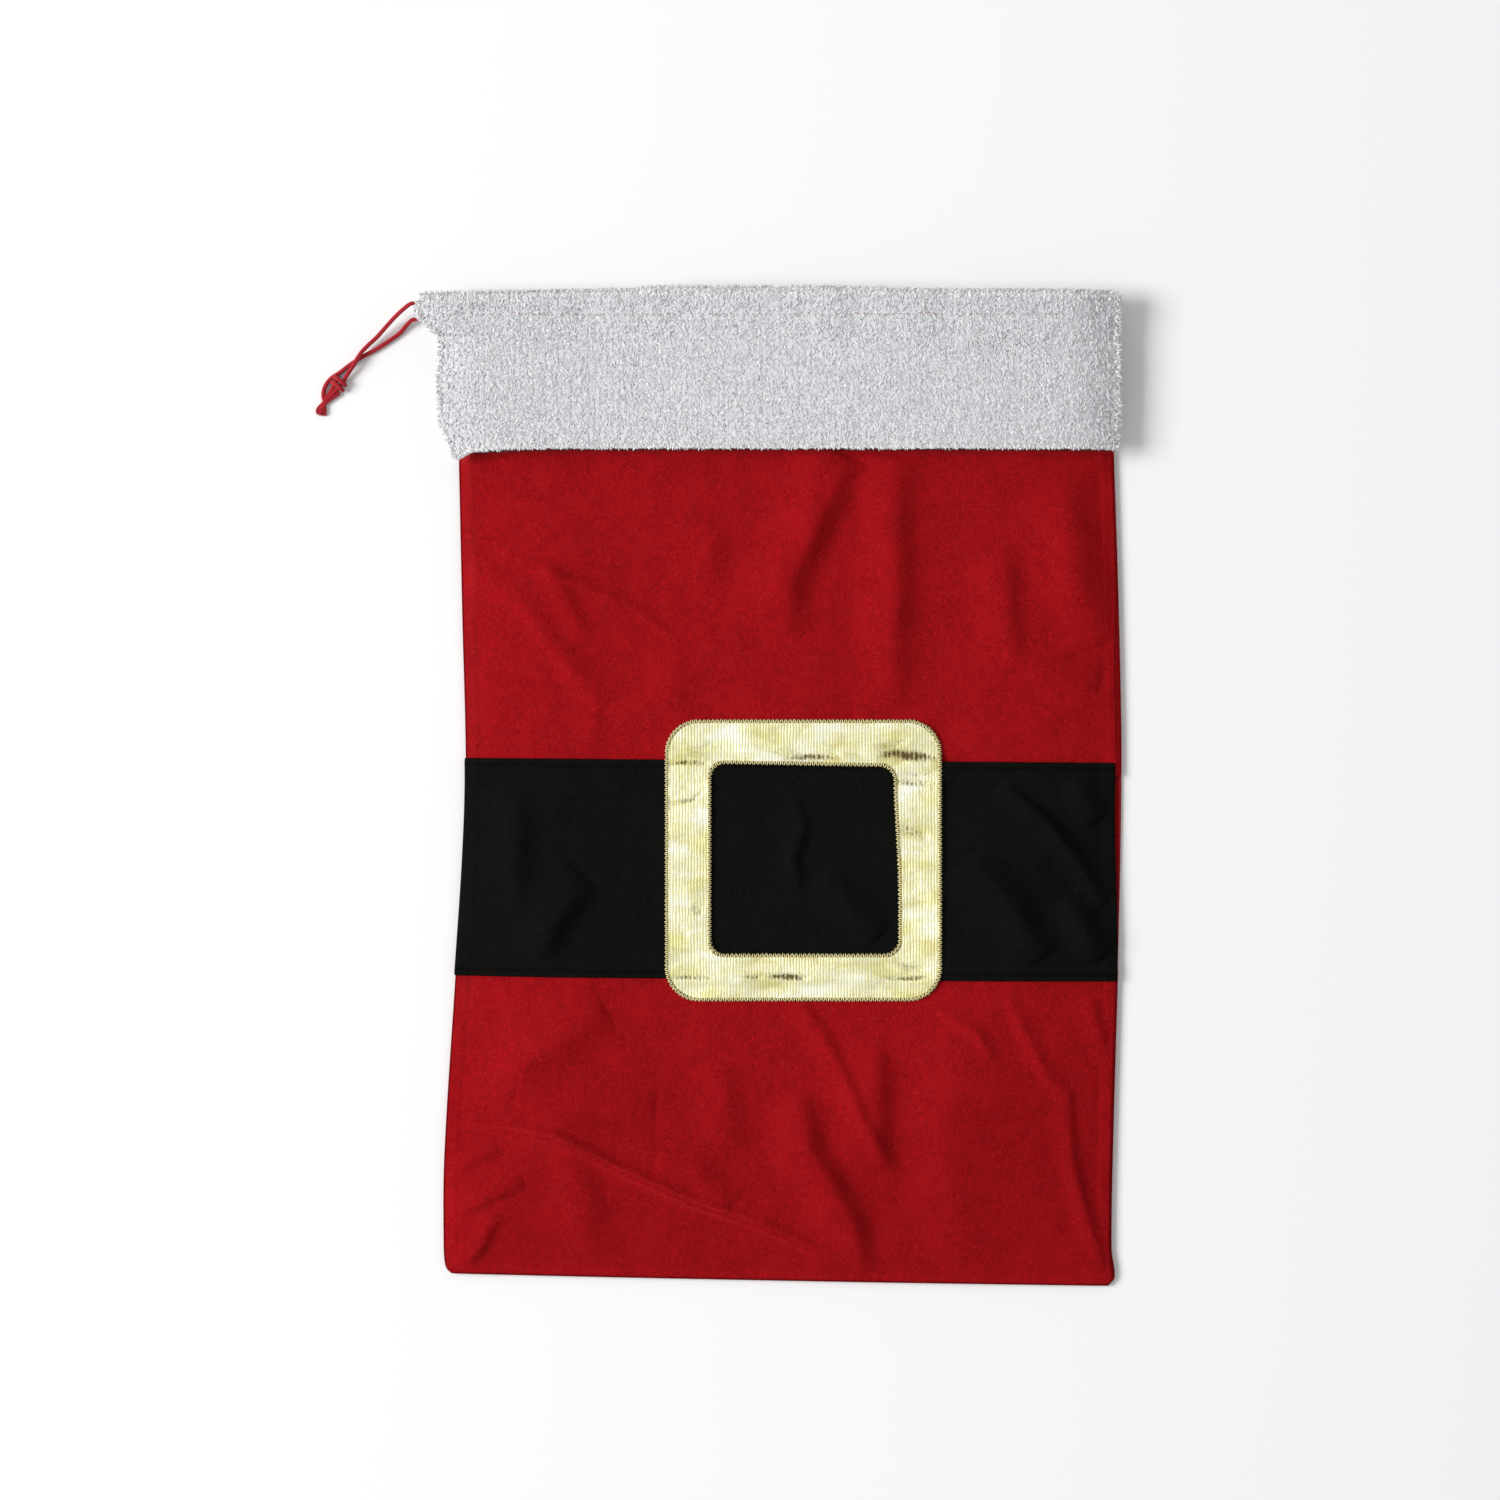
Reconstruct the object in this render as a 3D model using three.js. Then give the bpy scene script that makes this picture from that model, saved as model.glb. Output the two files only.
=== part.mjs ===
// A flat fabric gift sack: a felt sack with a plush cuff, a black belt with a gold buckle, and a drawstring.
// Millimetres. X runs across the sack, Y from the bottom seam to the mouth, and Z up off the surface that the
// sack lies on, with its front facing up. The origin is on that surface, under the middle of the sack.
// Every cloth piece is a slab: a grid across X and along the cloth, placed by a function, one cloth thick.
import * as THREE from "three";

// Cloth, thread and cord
const FELT = 1.5; // thickness of the red and black felt
const PLUSH = 3.5; // thickness of the cuff's plush, pile and all
const HEM = 3.0; // thickness of the plush where it is turned in under the casing
const THREAD = 0.6; // thickness of a row of sewing thread
const THREAD_WIDTH = 1.2;
const CORD_RADIUS = 1.5;
const GAP = 0.3; // clearance between pieces that touch
const SEAM_ROOM = THREAD + 2 * GAP; // distance between two cloths with a row of thread between them

// Heights of the layers
const PUFF = 10.5; // underside of the front where it stands highest over the back
const SLOPE = 28; // width over which the front comes down to a side seam
const FRONT_EDGE = FELT + SEAM_ROOM; // underside of the front at the side and bottom seams
const LAP = 9; // width by which the belt lies over each red panel
const BELT_LIFT = FELT + GAP; // the belt lies this much higher than the red panels
const CHANNEL = 2 * CORD_RADIUS + 1.1; // height of the casing that the cord runs in
const MOUTH = 7; // gap between the two hems at the mouth
const BACK_HEM_TOP = PLUSH + CHANNEL + HEM;
const FRONT_HEM_LOW = BACK_HEM_TOP + MOUTH;
const FRONT_OUTER_LOW = FRONT_HEM_LOW + HEM + CHANNEL; // underside of the front cuff over the casing
const CUFF_EDGE = PLUSH + SEAM_ROOM; // underside of the front cuff at its side seams
const CASING_EDGE = BACK_HEM_TOP + GAP + HEM + CHANNEL; // the same at the two ends of the casing
const CASING_DROP = FRONT_OUTER_LOW - CASING_EDGE;

// Outline, seen from above
const TOP = 350.4;
const CUFF_SEAM = 236; // Y of the seam between the cuff and the panels
const CASING_TOP = TOP - (PLUSH + HEM) / 2 - CHANNEL / 2; // Y where the plush turns over at the mouth
const FRONT_STITCH = 330; // Y of the row that closes the front casing
const BACK_STITCH = 321;
const FRONT_CORD_Y = 338.7;
const BACK_CORD_Y = 328.5;
const HEM_END = 315; // Y of the lower edge of both hems
const HEM_SHORT = 33; // the hems stop this far before the right side seam, and the cord turns there
const EXIT_X = -247; // X where the cord leaves the casing
const TOPSTITCH_IN = 4.6; // from the belt's edge to its topstitching

// Buckle
const BUCKLE = { left: -72.5, right: 120.8, low: -149.5, high: 47.3, radius: 23 };
const WINDOW = { left: -40.6, right: 89.6, low: -116.6, high: 15.8, radius: 10 };
const LAME = 1.0; // thickness of the gold cloth with its backing
const ZIGZAG = 2.9; // width of the satin stitch over the buckle's edges
const BELT_TOP = PUFF + BELT_LIFT + FELT;
const BUCKLE_LOW = BELT_TOP + 2 * GAP + THREAD / 2 + 0.1;

const plushLike = { roughness: 1, metalness: 0 };
const red = new THREE.MeshStandardMaterial({ color: 0x981117, ...plushLike });
const black = new THREE.MeshStandardMaterial({ color: 0x121310, ...plushLike });
const white = new THREE.MeshStandardMaterial({ color: 0xd4d5d7, ...plushLike });
const gold = new THREE.MeshStandardMaterial({ color: 0xe6dd8c, roughness: 0.4, metalness: 0.8 });
const goldThread = new THREE.MeshStandardMaterial({ color: 0xd8cc70, roughness: 0.6, metalness: 0 });
const redThread = new THREE.MeshStandardMaterial({ color: 0x8c2028, roughness: 0.8, metalness: 0 });
const cordRed = new THREE.MeshStandardMaterial({ color: 0xbe1e28, roughness: 0.8, metalness: 0 });

const lerp = THREE.MathUtils.lerp;
const clamp = THREE.MathUtils.clamp;

// A smooth curve through [at, value] pairs, which keeps its end values beyond them.
function through(points) {
  const last = points.length - 1;
  const slope = (i) => {
    const before = points[Math.max(i - 1, 0)];
    const after = points[Math.min(i + 1, last)];
    return (after[1] - before[1]) / (after[0] - before[0]);
  };
  return (at) => {
    if (at <= points[0][0]) return points[0][1];
    if (at >= points[last][0]) return points[last][1];
    const i = points.findIndex((p) => p[0] > at) - 1;
    const span = points[i + 1][0] - points[i][0];
    const u = (at - points[i][0]) / span;
    const rest = 1 - u;
    const values = (1 + 2 * u) * rest * rest * points[i][1] + u * u * (3 - 2 * u) * points[i + 1][1];
    return values + u * rest * span * (rest * slope(i) - u * slope(i + 1));
  };
}

// Straight stretches through [at, value] pairs.
function straight(points) {
  const last = points.length - 1;
  return (at) => {
    const found = points.findIndex((p) => p[0] > at);
    const i = clamp(found < 0 ? last - 1 : found - 1, 0, last - 1);
    const u = clamp((at - points[i][0]) / (points[i + 1][0] - points[i][0]), 0, 1);
    return lerp(points[i][1], points[i + 1][1], u);
  };
}

const bodyLeft = through([
  [-342, -223], [-339.6, -226], [-336, -227.6], [-324, -228.6], [-261, -228.2], [-135, -220.5],
  [-51, -215], [12, -213], [120, -215.5], [236, -218],
]);
const bodyRight = through([
  [-350, 239], [-345, 243], [-324, 240.8], [-240, 242.2], [-114, 245.7], [12, 247.8],
  [120, 246], [236, 242.4],
]);
const bottom = through([[-229, -341.5], [-100, -344.5], [80, -348], [241, -350.4]]);
const beltHigh = through([[-213, 20.7], [0, 19], [247, 17.2]]);
const beltLow = through([[-220, -132], [0, -134.5], [246, -136.2]]);
const cuffLeft = through([
  [229, -220], [240, -224], [257, -231], [290, -232.5], [314, -231], [320, -237], [327, -244], [333, -247.8],
  [338, -246], [343, -240], [347, -234], [350.4, -228],
]);
const cuffRight = through([[229, 243.5], [270, 245.5], [320, 245.5], [344, 244.5], [350.4, 240]]);
const frontCuffLow = straight([
  [CUFF_SEAM, PUFF], [HEM_END - 2, FRONT_HEM_LOW + HEM + GAP],
  [FRONT_STITCH, FRONT_HEM_LOW + HEM + SEAM_ROOM],
  [FRONT_STITCH + 6, FRONT_OUTER_LOW], [TOP, FRONT_OUTER_LOW],
]);
const frontCuffEdgeLow = straight([
  [CUFF_SEAM, CUFF_EDGE], [HEM_END - 16, CUFF_EDGE], [HEM_END - 2, CASING_EDGE - CHANNEL + GAP],
  [FRONT_STITCH, CASING_EDGE - CHANNEL + SEAM_ROOM], [FRONT_STITCH + 6, CASING_EDGE], [TOP, CASING_EDGE],
]);

const sack = new THREE.Group();
sack.name = "fabric_gift_sack";

function add(name, geometry, material) {
  geometry.deleteAttribute("uv");
  geometry.computeVertexNormals();
  const mesh = new THREE.Mesh(geometry, material);
  mesh.name = name;
  sack.add(mesh);
}

// A closed sheet with across by along cells. place(i, j, up) gives the point of grid line i across and j
// along, on the underside (up = 0) or the upper side (up = 1).
function addSheet(name, material, across, along, place) {
  const geometry = new THREE.BoxGeometry(1, 1, 1, across, along, 1);
  const at = geometry.getAttribute("position");
  for (let n = 0; n < at.count; n += 1) {
    const i = Math.round((at.getX(n) + 0.5) * across);
    const j = Math.round((at.getY(n) + 0.5) * along);
    const point = place(i, j, at.getZ(n) > 0 ? 1 : 0);
    at.setXYZ(n, point.x, point.y, point.z);
  }
  add(name, geometry, material);
}

// Grid line i of ACROSS between two side edges: the first and last cells are the slopes beside the seams.
const ACROSS = 10;
function station(i, left, right) {
  if (i === 0) return left;
  if (i === ACROSS) return right;
  return lerp(left + SLOPE, right - SLOPE, (i - 1) / (ACROSS - 2));
}

// Underside of the front panels over (x, y): flat, with a slope down to each side seam and to the bottom.
function frontLow(x, y) {
  const side = Math.min(x - bodyLeft(y), bodyRight(y) - x, y - bottom(x));
  return lerp(FRONT_EDGE, PUFF, clamp(side / SLOPE, 0, 1));
}

// A point of a body panel, on grid line i across, at the share v of the way from its lower to its upper edge.
function onBody(i, v, low, high) {
  const guess = lerp(-215, 243, i / ACROSS);
  const y = lerp(low(guess), high(guess), v);
  const x = station(i, bodyLeft(y), bodyRight(y));
  return new THREE.Vector2(x, lerp(low(x), high(x), v));
}

// Shares of the way along a panel: with a bottom seam, the first two steps are the slope beside it.
function stepsAlong(count, length, atBottom) {
  if (!atBottom) return Array.from({ length: count + 1 }, (_, j) => j / count);
  const slope = SLOPE / length;
  const rest = Array.from({ length: count - 1 }, (_, j) => lerp(slope, 1, j / (count - 2)));
  return [0, slope / 2, ...rest];
}

function addBackPanel() {
  const along = stepsAlong(14, CUFF_SEAM - bottom(0), true);
  const high = () => CUFF_SEAM - GAP;
  addSheet("back_panel", red, ACROSS, 14, (i, j, up) => {
    const p = onBody(i, along[j], bottom, high);
    return new THREE.Vector3(p.x, p.y, up * FELT);
  });
}

function addFrontPanel(name, material, count, low, high, lift) {
  const atBottom = low === bottom;
  const along = stepsAlong(count, high(0) - low(0), atBottom);
  addSheet(name, material, ACROSS, count, (i, j, up) => {
    const p = onBody(i, along[j], low, high);
    return new THREE.Vector3(p.x, p.y, frontLow(p.x, p.y) + lift + up * FELT);
  });
}

// A row of straight stitches over the belt, along the line y(x).
function addTopstitch(name, y) {
  addSheet(name, redThread, ACROSS, 1, (i, j, up) => {
    const middle = y(lerp(-213, 246, i / ACROSS));
    const x = station(i, bodyLeft(middle), bodyRight(middle));
    const inward = i === 0 ? 1 : i === ACROSS ? -1 : 0;
    const top = frontLow(x, y(x)) + BELT_LIFT + FELT + GAP;
    return new THREE.Vector3(x + inward, y(x) + (j - 0.5) * THREAD_WIDTH, top + (up * THREAD) / 2);
  });
}

// A row of thread along a side edge x(y), just inside it and between the two cloths.
function addSideSeam(name, edge, inward, from, to, height) {
  const count = Math.ceil((to - from) / 30);
  addSheet(name, redThread, 1, count, (i, j, up) => {
    const y = lerp(from, to, j / count);
    const across = inward > 0 ? i : 1 - i;
    return new THREE.Vector3(edge(y) + inward * (GAP + across * THREAD_WIDTH), y, height + up * THREAD);
  });
}

function addBottomSeam() {
  const inset = 4;
  addSheet("bottom_seam_thread", redThread, 12, 1, (i, j, up) => {
    const x = lerp(bodyLeft(-330) + inset + 2, bodyRight(-345) - inset, i / 12);
    return new THREE.Vector3(x, bottom(x) + GAP + j * THREAD_WIDTH, FELT + GAP + up * THREAD);
  });
}

// The seams between the cuffs and the panels lie in the 1.2 mm between their edges, at the cloth's own level.
function addCuffSeams() {
  const inset = 6;
  addSheet("front_cuff_seam_thread", redThread, ACROSS, 1, (i, j, up) => {
    const edge = station(i, bodyLeft(CUFF_SEAM), bodyRight(CUFF_SEAM));
    const x = edge + (i === 0 ? inset : i === ACROSS ? -inset : 0);
    return new THREE.Vector3(x, CUFF_SEAM + GAP + j * THREAD, frontLow(x, CUFF_SEAM) + GAP + up * THREAD);
  });
  addSheet("back_cuff_seam_thread", redThread, ACROSS, 1, (i, j, up) => {
    const x = lerp(bodyLeft(CUFF_SEAM) + inset, bodyRight(CUFF_SEAM) - inset, i / ACROSS);
    return new THREE.Vector3(x, CUFF_SEAM + GAP + j * THREAD, GAP + up * THREAD);
  });
}

// The section of a cuff, from its seam up to the mouth, over the fold and down the hem, as points with a Y, a
// cloth thickness, an angle where the cloth is turning over, and hem, 0 on the outer layer and 1 on the hem.
function cuffSection(ys, hemYs) {
  const outer = ys.map((y) => ({ y, angle: null, thick: PLUSH, hem: 0 }));
  const fold = [0.25, 0.5, 0.75].map((share) => ({
    y: CASING_TOP,
    angle: share * Math.PI,
    thick: lerp(PLUSH, HEM, share),
    hem: 1,
  }));
  const inner = hemYs.map((y) => ({ y, angle: null, thick: HEM, hem: 1 }));
  return [...outer, ...fold, ...inner];
}

// One cuff. outerFace(y, atEdge) is the height of the outer layer's face towards the casing, in the middle or
// at a side edge, and hemFace the hem's. way is 1 on the front, whose outside faces up, and -1 on the back.
// up = 0 is the face towards the casing all the way round the section.
function addCuff(name, section, way, outerFace, hemFace) {
  const radius = CHANNEL / 2;
  addSheet(name, white, ACROSS, section.length - 1, (i, j, up) => {
    const { y, angle, thick, hem } = section[way > 0 ? j : section.length - 1 - j];
    const away = up * thick;
    const short = angle === null && hem === 1;
    const right = cuffRight(y) - (short ? HEM_SHORT : 0);
    const atEdge = i === 0 || (i === ACROSS && !short);
    const x = station(i, cuffLeft(y), right);
    if (angle === null && hem === 0) return new THREE.Vector3(x, y, outerFace(y, atEdge) + way * away);
    if (short) return new THREE.Vector3(x, y, hemFace(y, atEdge) - way * away);
    const middle = (outerFace(y, atEdge) + hemFace(y, atEdge)) / 2;
    const reach = Math.abs(outerFace(y, atEdge) - hemFace(y, atEdge)) / 2 + away;
    const out = (radius + away) * Math.sin(angle);
    return new THREE.Vector3(x, y + out, middle + way * reach * Math.cos(angle));
  });
}

function addFrontCuff() {
  const rows = [FRONT_STITCH, FRONT_STITCH + 3, FRONT_STITCH + 6, CASING_TOP];
  const section = cuffSection(
    [CUFF_SEAM + SEAM_ROOM, 262, 288, HEM_END - 16, HEM_END - 2, ...rows],
    [...rows.toReversed(), HEM_END],
  );
  const outer = (y, atEdge) => (atEdge ? frontCuffEdgeLow(y) : frontCuffLow(y));
  const hem = (y, atEdge) => FRONT_HEM_LOW + HEM - (atEdge ? CASING_DROP : 0);
  addCuff("front_cuff", section, 1, outer, hem);
}

function addBackCuff() {
  const rows = [BACK_STITCH, BACK_STITCH + 6, FRONT_STITCH + 3, CASING_TOP];
  const outer = [CUFF_SEAM + SEAM_ROOM, 262, 288, HEM_END, ...rows];
  const section = cuffSection(outer, [...rows.toReversed(), HEM_END]);
  const hemFace = straight([
    [HEM_END, PLUSH + SEAM_ROOM], [BACK_STITCH, PLUSH + SEAM_ROOM], [BACK_STITCH + 6, PLUSH + CHANNEL],
    [TOP, PLUSH + CHANNEL],
  ]);
  addCuff("back_cuff", section, -1, () => PLUSH, hemFace);
}

// The rows that close the two casings, between the outer layer and the hem.
function addCasingThreads() {
  const rows = [
    { name: "front_casing_thread", y: FRONT_STITCH, low: FRONT_HEM_LOW + HEM + GAP, drop: CASING_DROP },
    { name: "back_casing_thread", y: BACK_STITCH, low: PLUSH + GAP, drop: 0 },
  ];
  for (const row of rows) {
    addSheet(row.name, redThread, ACROSS, 1, (i, j, up) => {
      const x = station(i, cuffLeft(row.y), cuffRight(row.y) - HEM_SHORT);
      const inward = i === 0 ? 1 : i === ACROSS ? -1 : 0;
      const low = row.low - (i === 0 ? row.drop : 0);
      return new THREE.Vector3(x + inward, row.y + (j - 0.5) * THREAD, low + up * THREAD);
    });
  }
}

// A rounded rectangle, grown outwards by grow.
function roundedPath(path, box, grow) {
  const r = box.radius + grow;
  const left = box.left - grow;
  const right = box.right + grow;
  const low = box.low - grow;
  const high = box.high + grow;
  path.moveTo(left + r, low);
  path.lineTo(right - r, low);
  path.absarc(right - r, low + r, r, -Math.PI / 2, 0);
  path.lineTo(right, high - r);
  path.absarc(right - r, high - r, r, 0, Math.PI / 2);
  path.lineTo(left + r, high);
  path.absarc(left + r, high - r, r, Math.PI / 2, Math.PI);
  path.lineTo(left, low + r);
  path.absarc(left + r, low + r, r, Math.PI, 1.5 * Math.PI);
  return path;
}

// A flat ring between two rounded rectangles, each grown by its own amount.
function addRing(name, material, outside, growOut, inside, growIn, low, depth) {
  const shape = roundedPath(new THREE.Shape(), outside, growOut);
  shape.holes.push(roundedPath(new THREE.Path(), inside, growIn));
  const geometry = new THREE.ExtrudeGeometry(shape, { depth, bevelEnabled: false, curveSegments: 5 });
  geometry.translate(0, 0, low);
  add(name, geometry, material);
}

function addBuckle() {
  const stitchLow = BUCKLE_LOW + LAME + GAP;
  const half = ZIGZAG / 2;
  addRing("buckle_frame", gold, BUCKLE, 0, WINDOW, 0, BUCKLE_LOW, LAME);
  addRing("buckle_outer_stitch", goldThread, BUCKLE, half, BUCKLE, -half, stitchLow, THREAD);
  addRing("buckle_inner_stitch", goldThread, WINDOW, half, WINDOW, -half, stitchLow, THREAD);
}

// A cord along the route, with flat ends, 8 sides round.
function addCord(name, route, steps) {
  const round = new THREE.Shape();
  for (let k = 0; k < 8; k += 1) {
    const angle = (k * Math.PI) / 4 + Math.PI / 8;
    const point = [CORD_RADIUS * Math.cos(angle), CORD_RADIUS * Math.sin(angle)];
    if (k === 0) round.moveTo(...point);
    else round.lineTo(...point);
  }
  const extrudePath = new THREE.CatmullRomCurve3(route.map((p) => new THREE.Vector3(...p)));
  add(name, new THREE.ExtrudeGeometry(round, { steps, extrudePath, curveSegments: 1 }), cordRed);
}

// Route of the cord outside the sack, by hand: out of the casing's left end, down to the surface, the front
// strand over the back one, and into the knot.
const FRONT_TAIL = [
  [-247.8, 338.7, 15.6], [-251, 338, 15.2], [-256, 334.6, 13.2], [-261.5, 330.2, 10], [-267.4, 324.5, 6.9],
  [-275.5, 315.9, 4.7], [-281, 310.9, 4.4], [-286, 305.6, 4.8], [-289.6, 300.1, 5.0], [-292, 296, 4.6],
  [-295, 291.6, 3.6], [-298.2, 286.9, 2.9],
];
const BACK_TAIL = [
  [-247.8, 328.5, 5.4], [-250.6, 328, 4.9], [-254.6, 324.6, 3], [-259.2, 319.6, 1.7], [-266.8, 314, 1.6],
  [-276.6, 307.7, 1.6], [-284.2, 303.6, 1.6], [-289.6, 300.3, 1.6], [-295, 296.6, 1.6], [-301.6, 291.6, 1.6],
  [-308, 287.2, 1.6], [-311.9, 281.9, 1.6], [-312.9, 277, 1.6], [-312.5, 273.6, 1.6],
];

function addCasingLoop() {
  const turnX = cuffRight(330) - HEM_SHORT;
  const frontZ = FRONT_OUTER_LOW - CHANNEL / 2;
  const backZ = PLUSH + CHANNEL / 2;
  const radius = (frontZ - backZ) / 2;
  // The casing's left edge at the cord, on the straight line between its two grid lines there.
  const share = (FRONT_CORD_Y - FRONT_STITCH - 6) / (CASING_TOP - FRONT_STITCH - 6);
  const crest = lerp(cuffLeft(FRONT_STITCH + 6), cuffLeft(CASING_TOP), share) + SLOPE;
  const route = [];
  for (const x of [EXIT_X, -243, -235, -226, crest, crest + 8, -120, 0, 110, 190, turnX - 6]) {
    route.push([x, FRONT_CORD_Y, frontZ - CASING_DROP * clamp((crest - x) / SLOPE, 0, 1)]);
  }
  for (let k = 0; k <= 6; k += 1) {
    const angle = (k / 6) * Math.PI;
    route.push([
      turnX + radius * Math.sin(angle),
      lerp(FRONT_CORD_Y, BACK_CORD_Y, k / 6),
      (frontZ + backZ) / 2 + radius * Math.cos(angle),
    ]);
  }
  for (const x of [turnX - 6, 190, 110, 0, -120, -240, EXIT_X]) {
    route.push([x, BACK_CORD_Y, backZ]);
  }
  addCord("drawstring_casing_loop", route, 80);
}

// The knot and the frayed end, as their outlines seen from above, smoothly joined.
function addLump(name, outline, depth) {
  const shape = new THREE.Shape();
  shape.moveTo(...outline[0]);
  for (const point of outline.slice(1)) {
    shape.lineTo(...point);
  }
  const geometry = new THREE.ExtrudeGeometry(shape, { depth, bevelEnabled: false });
  geometry.translate(0, 0, CORD_RADIUS * 0.1);
  add(name, geometry, cordRed);
}

function addDrawstring() {
  addCasingLoop();
  addCord("drawstring_front_tail", FRONT_TAIL, 28);
  addCord("drawstring_back_tail", BACK_TAIL, 28);
  addLump("drawstring_knot", [
    [-297, 284.9], [-300.4, 287.3], [-303.6, 287.5], [-306.6, 283.4], [-309.2, 278.4], [-310.4, 273],
    [-313.8, 271.8], [-311.4, 268.9], [-305.6, 273.6], [-300.4, 278.9],
  ], 5.6);
  addLump("drawstring_frayed_end", [
    [-314.3, 271.2], [-317.6, 269.2], [-318.4, 264], [-316.4, 261], [-311, 260.8], [-312, 264.6],
    [-311.9, 268.2],
  ], 4);
}

addBackPanel();
addFrontPanel("front_upper_panel", red, 10, (x) => beltHigh(x) - LAP, () => CUFF_SEAM - GAP, 0);
addFrontPanel("front_belt_panel", black, 8, beltLow, beltHigh, BELT_LIFT);
addFrontPanel("front_lower_panel", red, 10, bottom, (x) => beltLow(x) + LAP, 0);
addFrontCuff();
addBackCuff();
addBuckle();
addTopstitch("belt_upper_topstitch", (x) => beltHigh(x) - TOPSTITCH_IN);
addTopstitch("belt_lower_topstitch", (x) => beltLow(x) + TOPSTITCH_IN);
addCuffSeams();
addCasingThreads();
addSideSeam("left_side_seam_thread", bodyLeft, 1, -335, CUFF_SEAM - 2, FELT + GAP);
addSideSeam("right_side_seam_thread", bodyRight, -1, -342, CUFF_SEAM - 2, FELT + GAP);
addSideSeam("left_cuff_seam_thread", cuffLeft, 1, CUFF_SEAM + 5, HEM_END - 17, PLUSH + GAP);
addSideSeam("right_cuff_seam_thread", cuffRight, -1, CUFF_SEAM + 5, HEM_END - 17, PLUSH + GAP);
addBottomSeam();
addDrawstring();

export default sack;
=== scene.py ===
"""A flat fabric gift sack seen from straight above: a red felt sack with a plush cuff, a black felt belt with
a gold cloth buckle, and a red drawstring. Lengths are in millimetres and become metres where a mesh is made.
X runs across the sack, Y from its bottom seam to its mouth, and Z up off the floor."""

import bpy
import numpy as np
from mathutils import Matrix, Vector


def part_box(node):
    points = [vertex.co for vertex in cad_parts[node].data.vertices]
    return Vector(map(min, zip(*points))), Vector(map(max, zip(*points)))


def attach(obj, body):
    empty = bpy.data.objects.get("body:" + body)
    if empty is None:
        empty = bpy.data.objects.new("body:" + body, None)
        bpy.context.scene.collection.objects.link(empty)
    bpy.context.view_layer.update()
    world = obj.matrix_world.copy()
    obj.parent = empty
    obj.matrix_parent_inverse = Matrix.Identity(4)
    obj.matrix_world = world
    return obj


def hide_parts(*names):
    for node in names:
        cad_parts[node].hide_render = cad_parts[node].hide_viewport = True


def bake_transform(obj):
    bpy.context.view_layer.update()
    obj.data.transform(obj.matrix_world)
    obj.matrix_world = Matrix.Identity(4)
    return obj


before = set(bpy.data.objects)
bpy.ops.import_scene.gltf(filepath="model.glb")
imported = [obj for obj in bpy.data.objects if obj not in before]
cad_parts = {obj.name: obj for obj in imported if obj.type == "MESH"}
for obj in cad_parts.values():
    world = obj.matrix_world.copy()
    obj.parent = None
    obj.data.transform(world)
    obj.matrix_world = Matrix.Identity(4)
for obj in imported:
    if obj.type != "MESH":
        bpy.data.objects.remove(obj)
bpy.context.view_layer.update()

MM = 0.001


def box(node):
    """Lowest and highest corner of a CAD node in millimetres."""
    low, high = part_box(node)
    return np.array(low) / MM, np.array(high) / MM


# ---- Driving dimensions ----
FELT = 1.5  # thickness of the red and black felt
BACKING = 1.9  # thickness of the plush without its pile
PILE = 1.5  # height of the pile over the backing
LOCK = 4.3  # the pile's tufts lean together in locks this far apart
LOCK_PULL = 1.7  # how strongly they lean together, against the other ways that they lean
BRIGHT_TUFTS = 0.3  # share of the tufts that catch the light
THREAD = 0.6  # diameter of the sewing thread
CORD = 3.0  # diameter of the drawstring
LAME = 1.0  # thickness of the gold cloth with its backing
ZIGZAG = 2.9  # width of the satin stitch over the buckle's edges
TOPSTITCH_IN = 4.6  # from the belt's edge to its topstitching
SEAM_Z = 1.7  # underside of the front where it meets the back at a seam
PUFF = 9.2  # underside of the front where it stands highest, apart from its folds
SLOPE = 40  # width over which the cuff comes down to a side seam
PANEL_SLOPE = 66  # width over which the red front comes down to a seam
FOLD_DEPTH = 3.8  # how deep the folds are, for the heights in their tables
BELT_LIFT = 1.8  # the belt lies this much higher than the red panels
ALLOWANCE = 8  # width of the seam allowance that shows through beside a seam
CUFF_SEAM = 236  # Y of the seam between the cuff and the panels
HEM_SHORT = 33  # the hems stop this far before the right side seam
FRONT_STITCH = 330  # Y of the row that closes the front casing
BACK_STITCH = 321  # the same at the back
HEM_REACH = 14.7  # the front hem ends this far below its row of stitches
HEM_END = box("front_casing_thread")[0][1] - HEM_REACH
MOUTH_Y = box("front_cuff")[1][1]
FOLD = 5.3  # how far the plush's fold at the mouth stands out past the last straight row
TURN = MOUTH_Y - FOLD
CASING_ROOM = 0.6  # the plush stays this far off the heights given for its face towards the casing
EXIT_X = box("drawstring_front_tail")[1][0]  # where the cord comes out of the casing

# Length of a stitch and the gap after it, by row.
SEAM_STITCH = (3.0, 0.6)
BELT_STITCH = (2.9, 0.7)
CUFF_STITCH = (2.6, 0.5)
CASING_STITCH = (1.6, 3.4)

# Rows of points across a cuff: up its outer layer, round its fold and down its hem.
OUTER_ROWS = 46
FOLD_ROWS = 9
HEM_ROWS = 14

# ---- Camera ----
VIEW_CENTRE = (-13.3, 26.25)
CAMERA_HEIGHT = 2491.5


def add_camera():
    data = bpy.data.cameras.new("camera")
    data.lens = 85
    data.sensor_width = 36
    camera = bpy.data.objects.new("camera", data)
    camera.location = [v * MM for v in (*VIEW_CENTRE, CAMERA_HEIGHT)]
    bpy.context.scene.collection.objects.link(camera)
    bpy.context.scene.camera = camera


add_camera()


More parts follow.
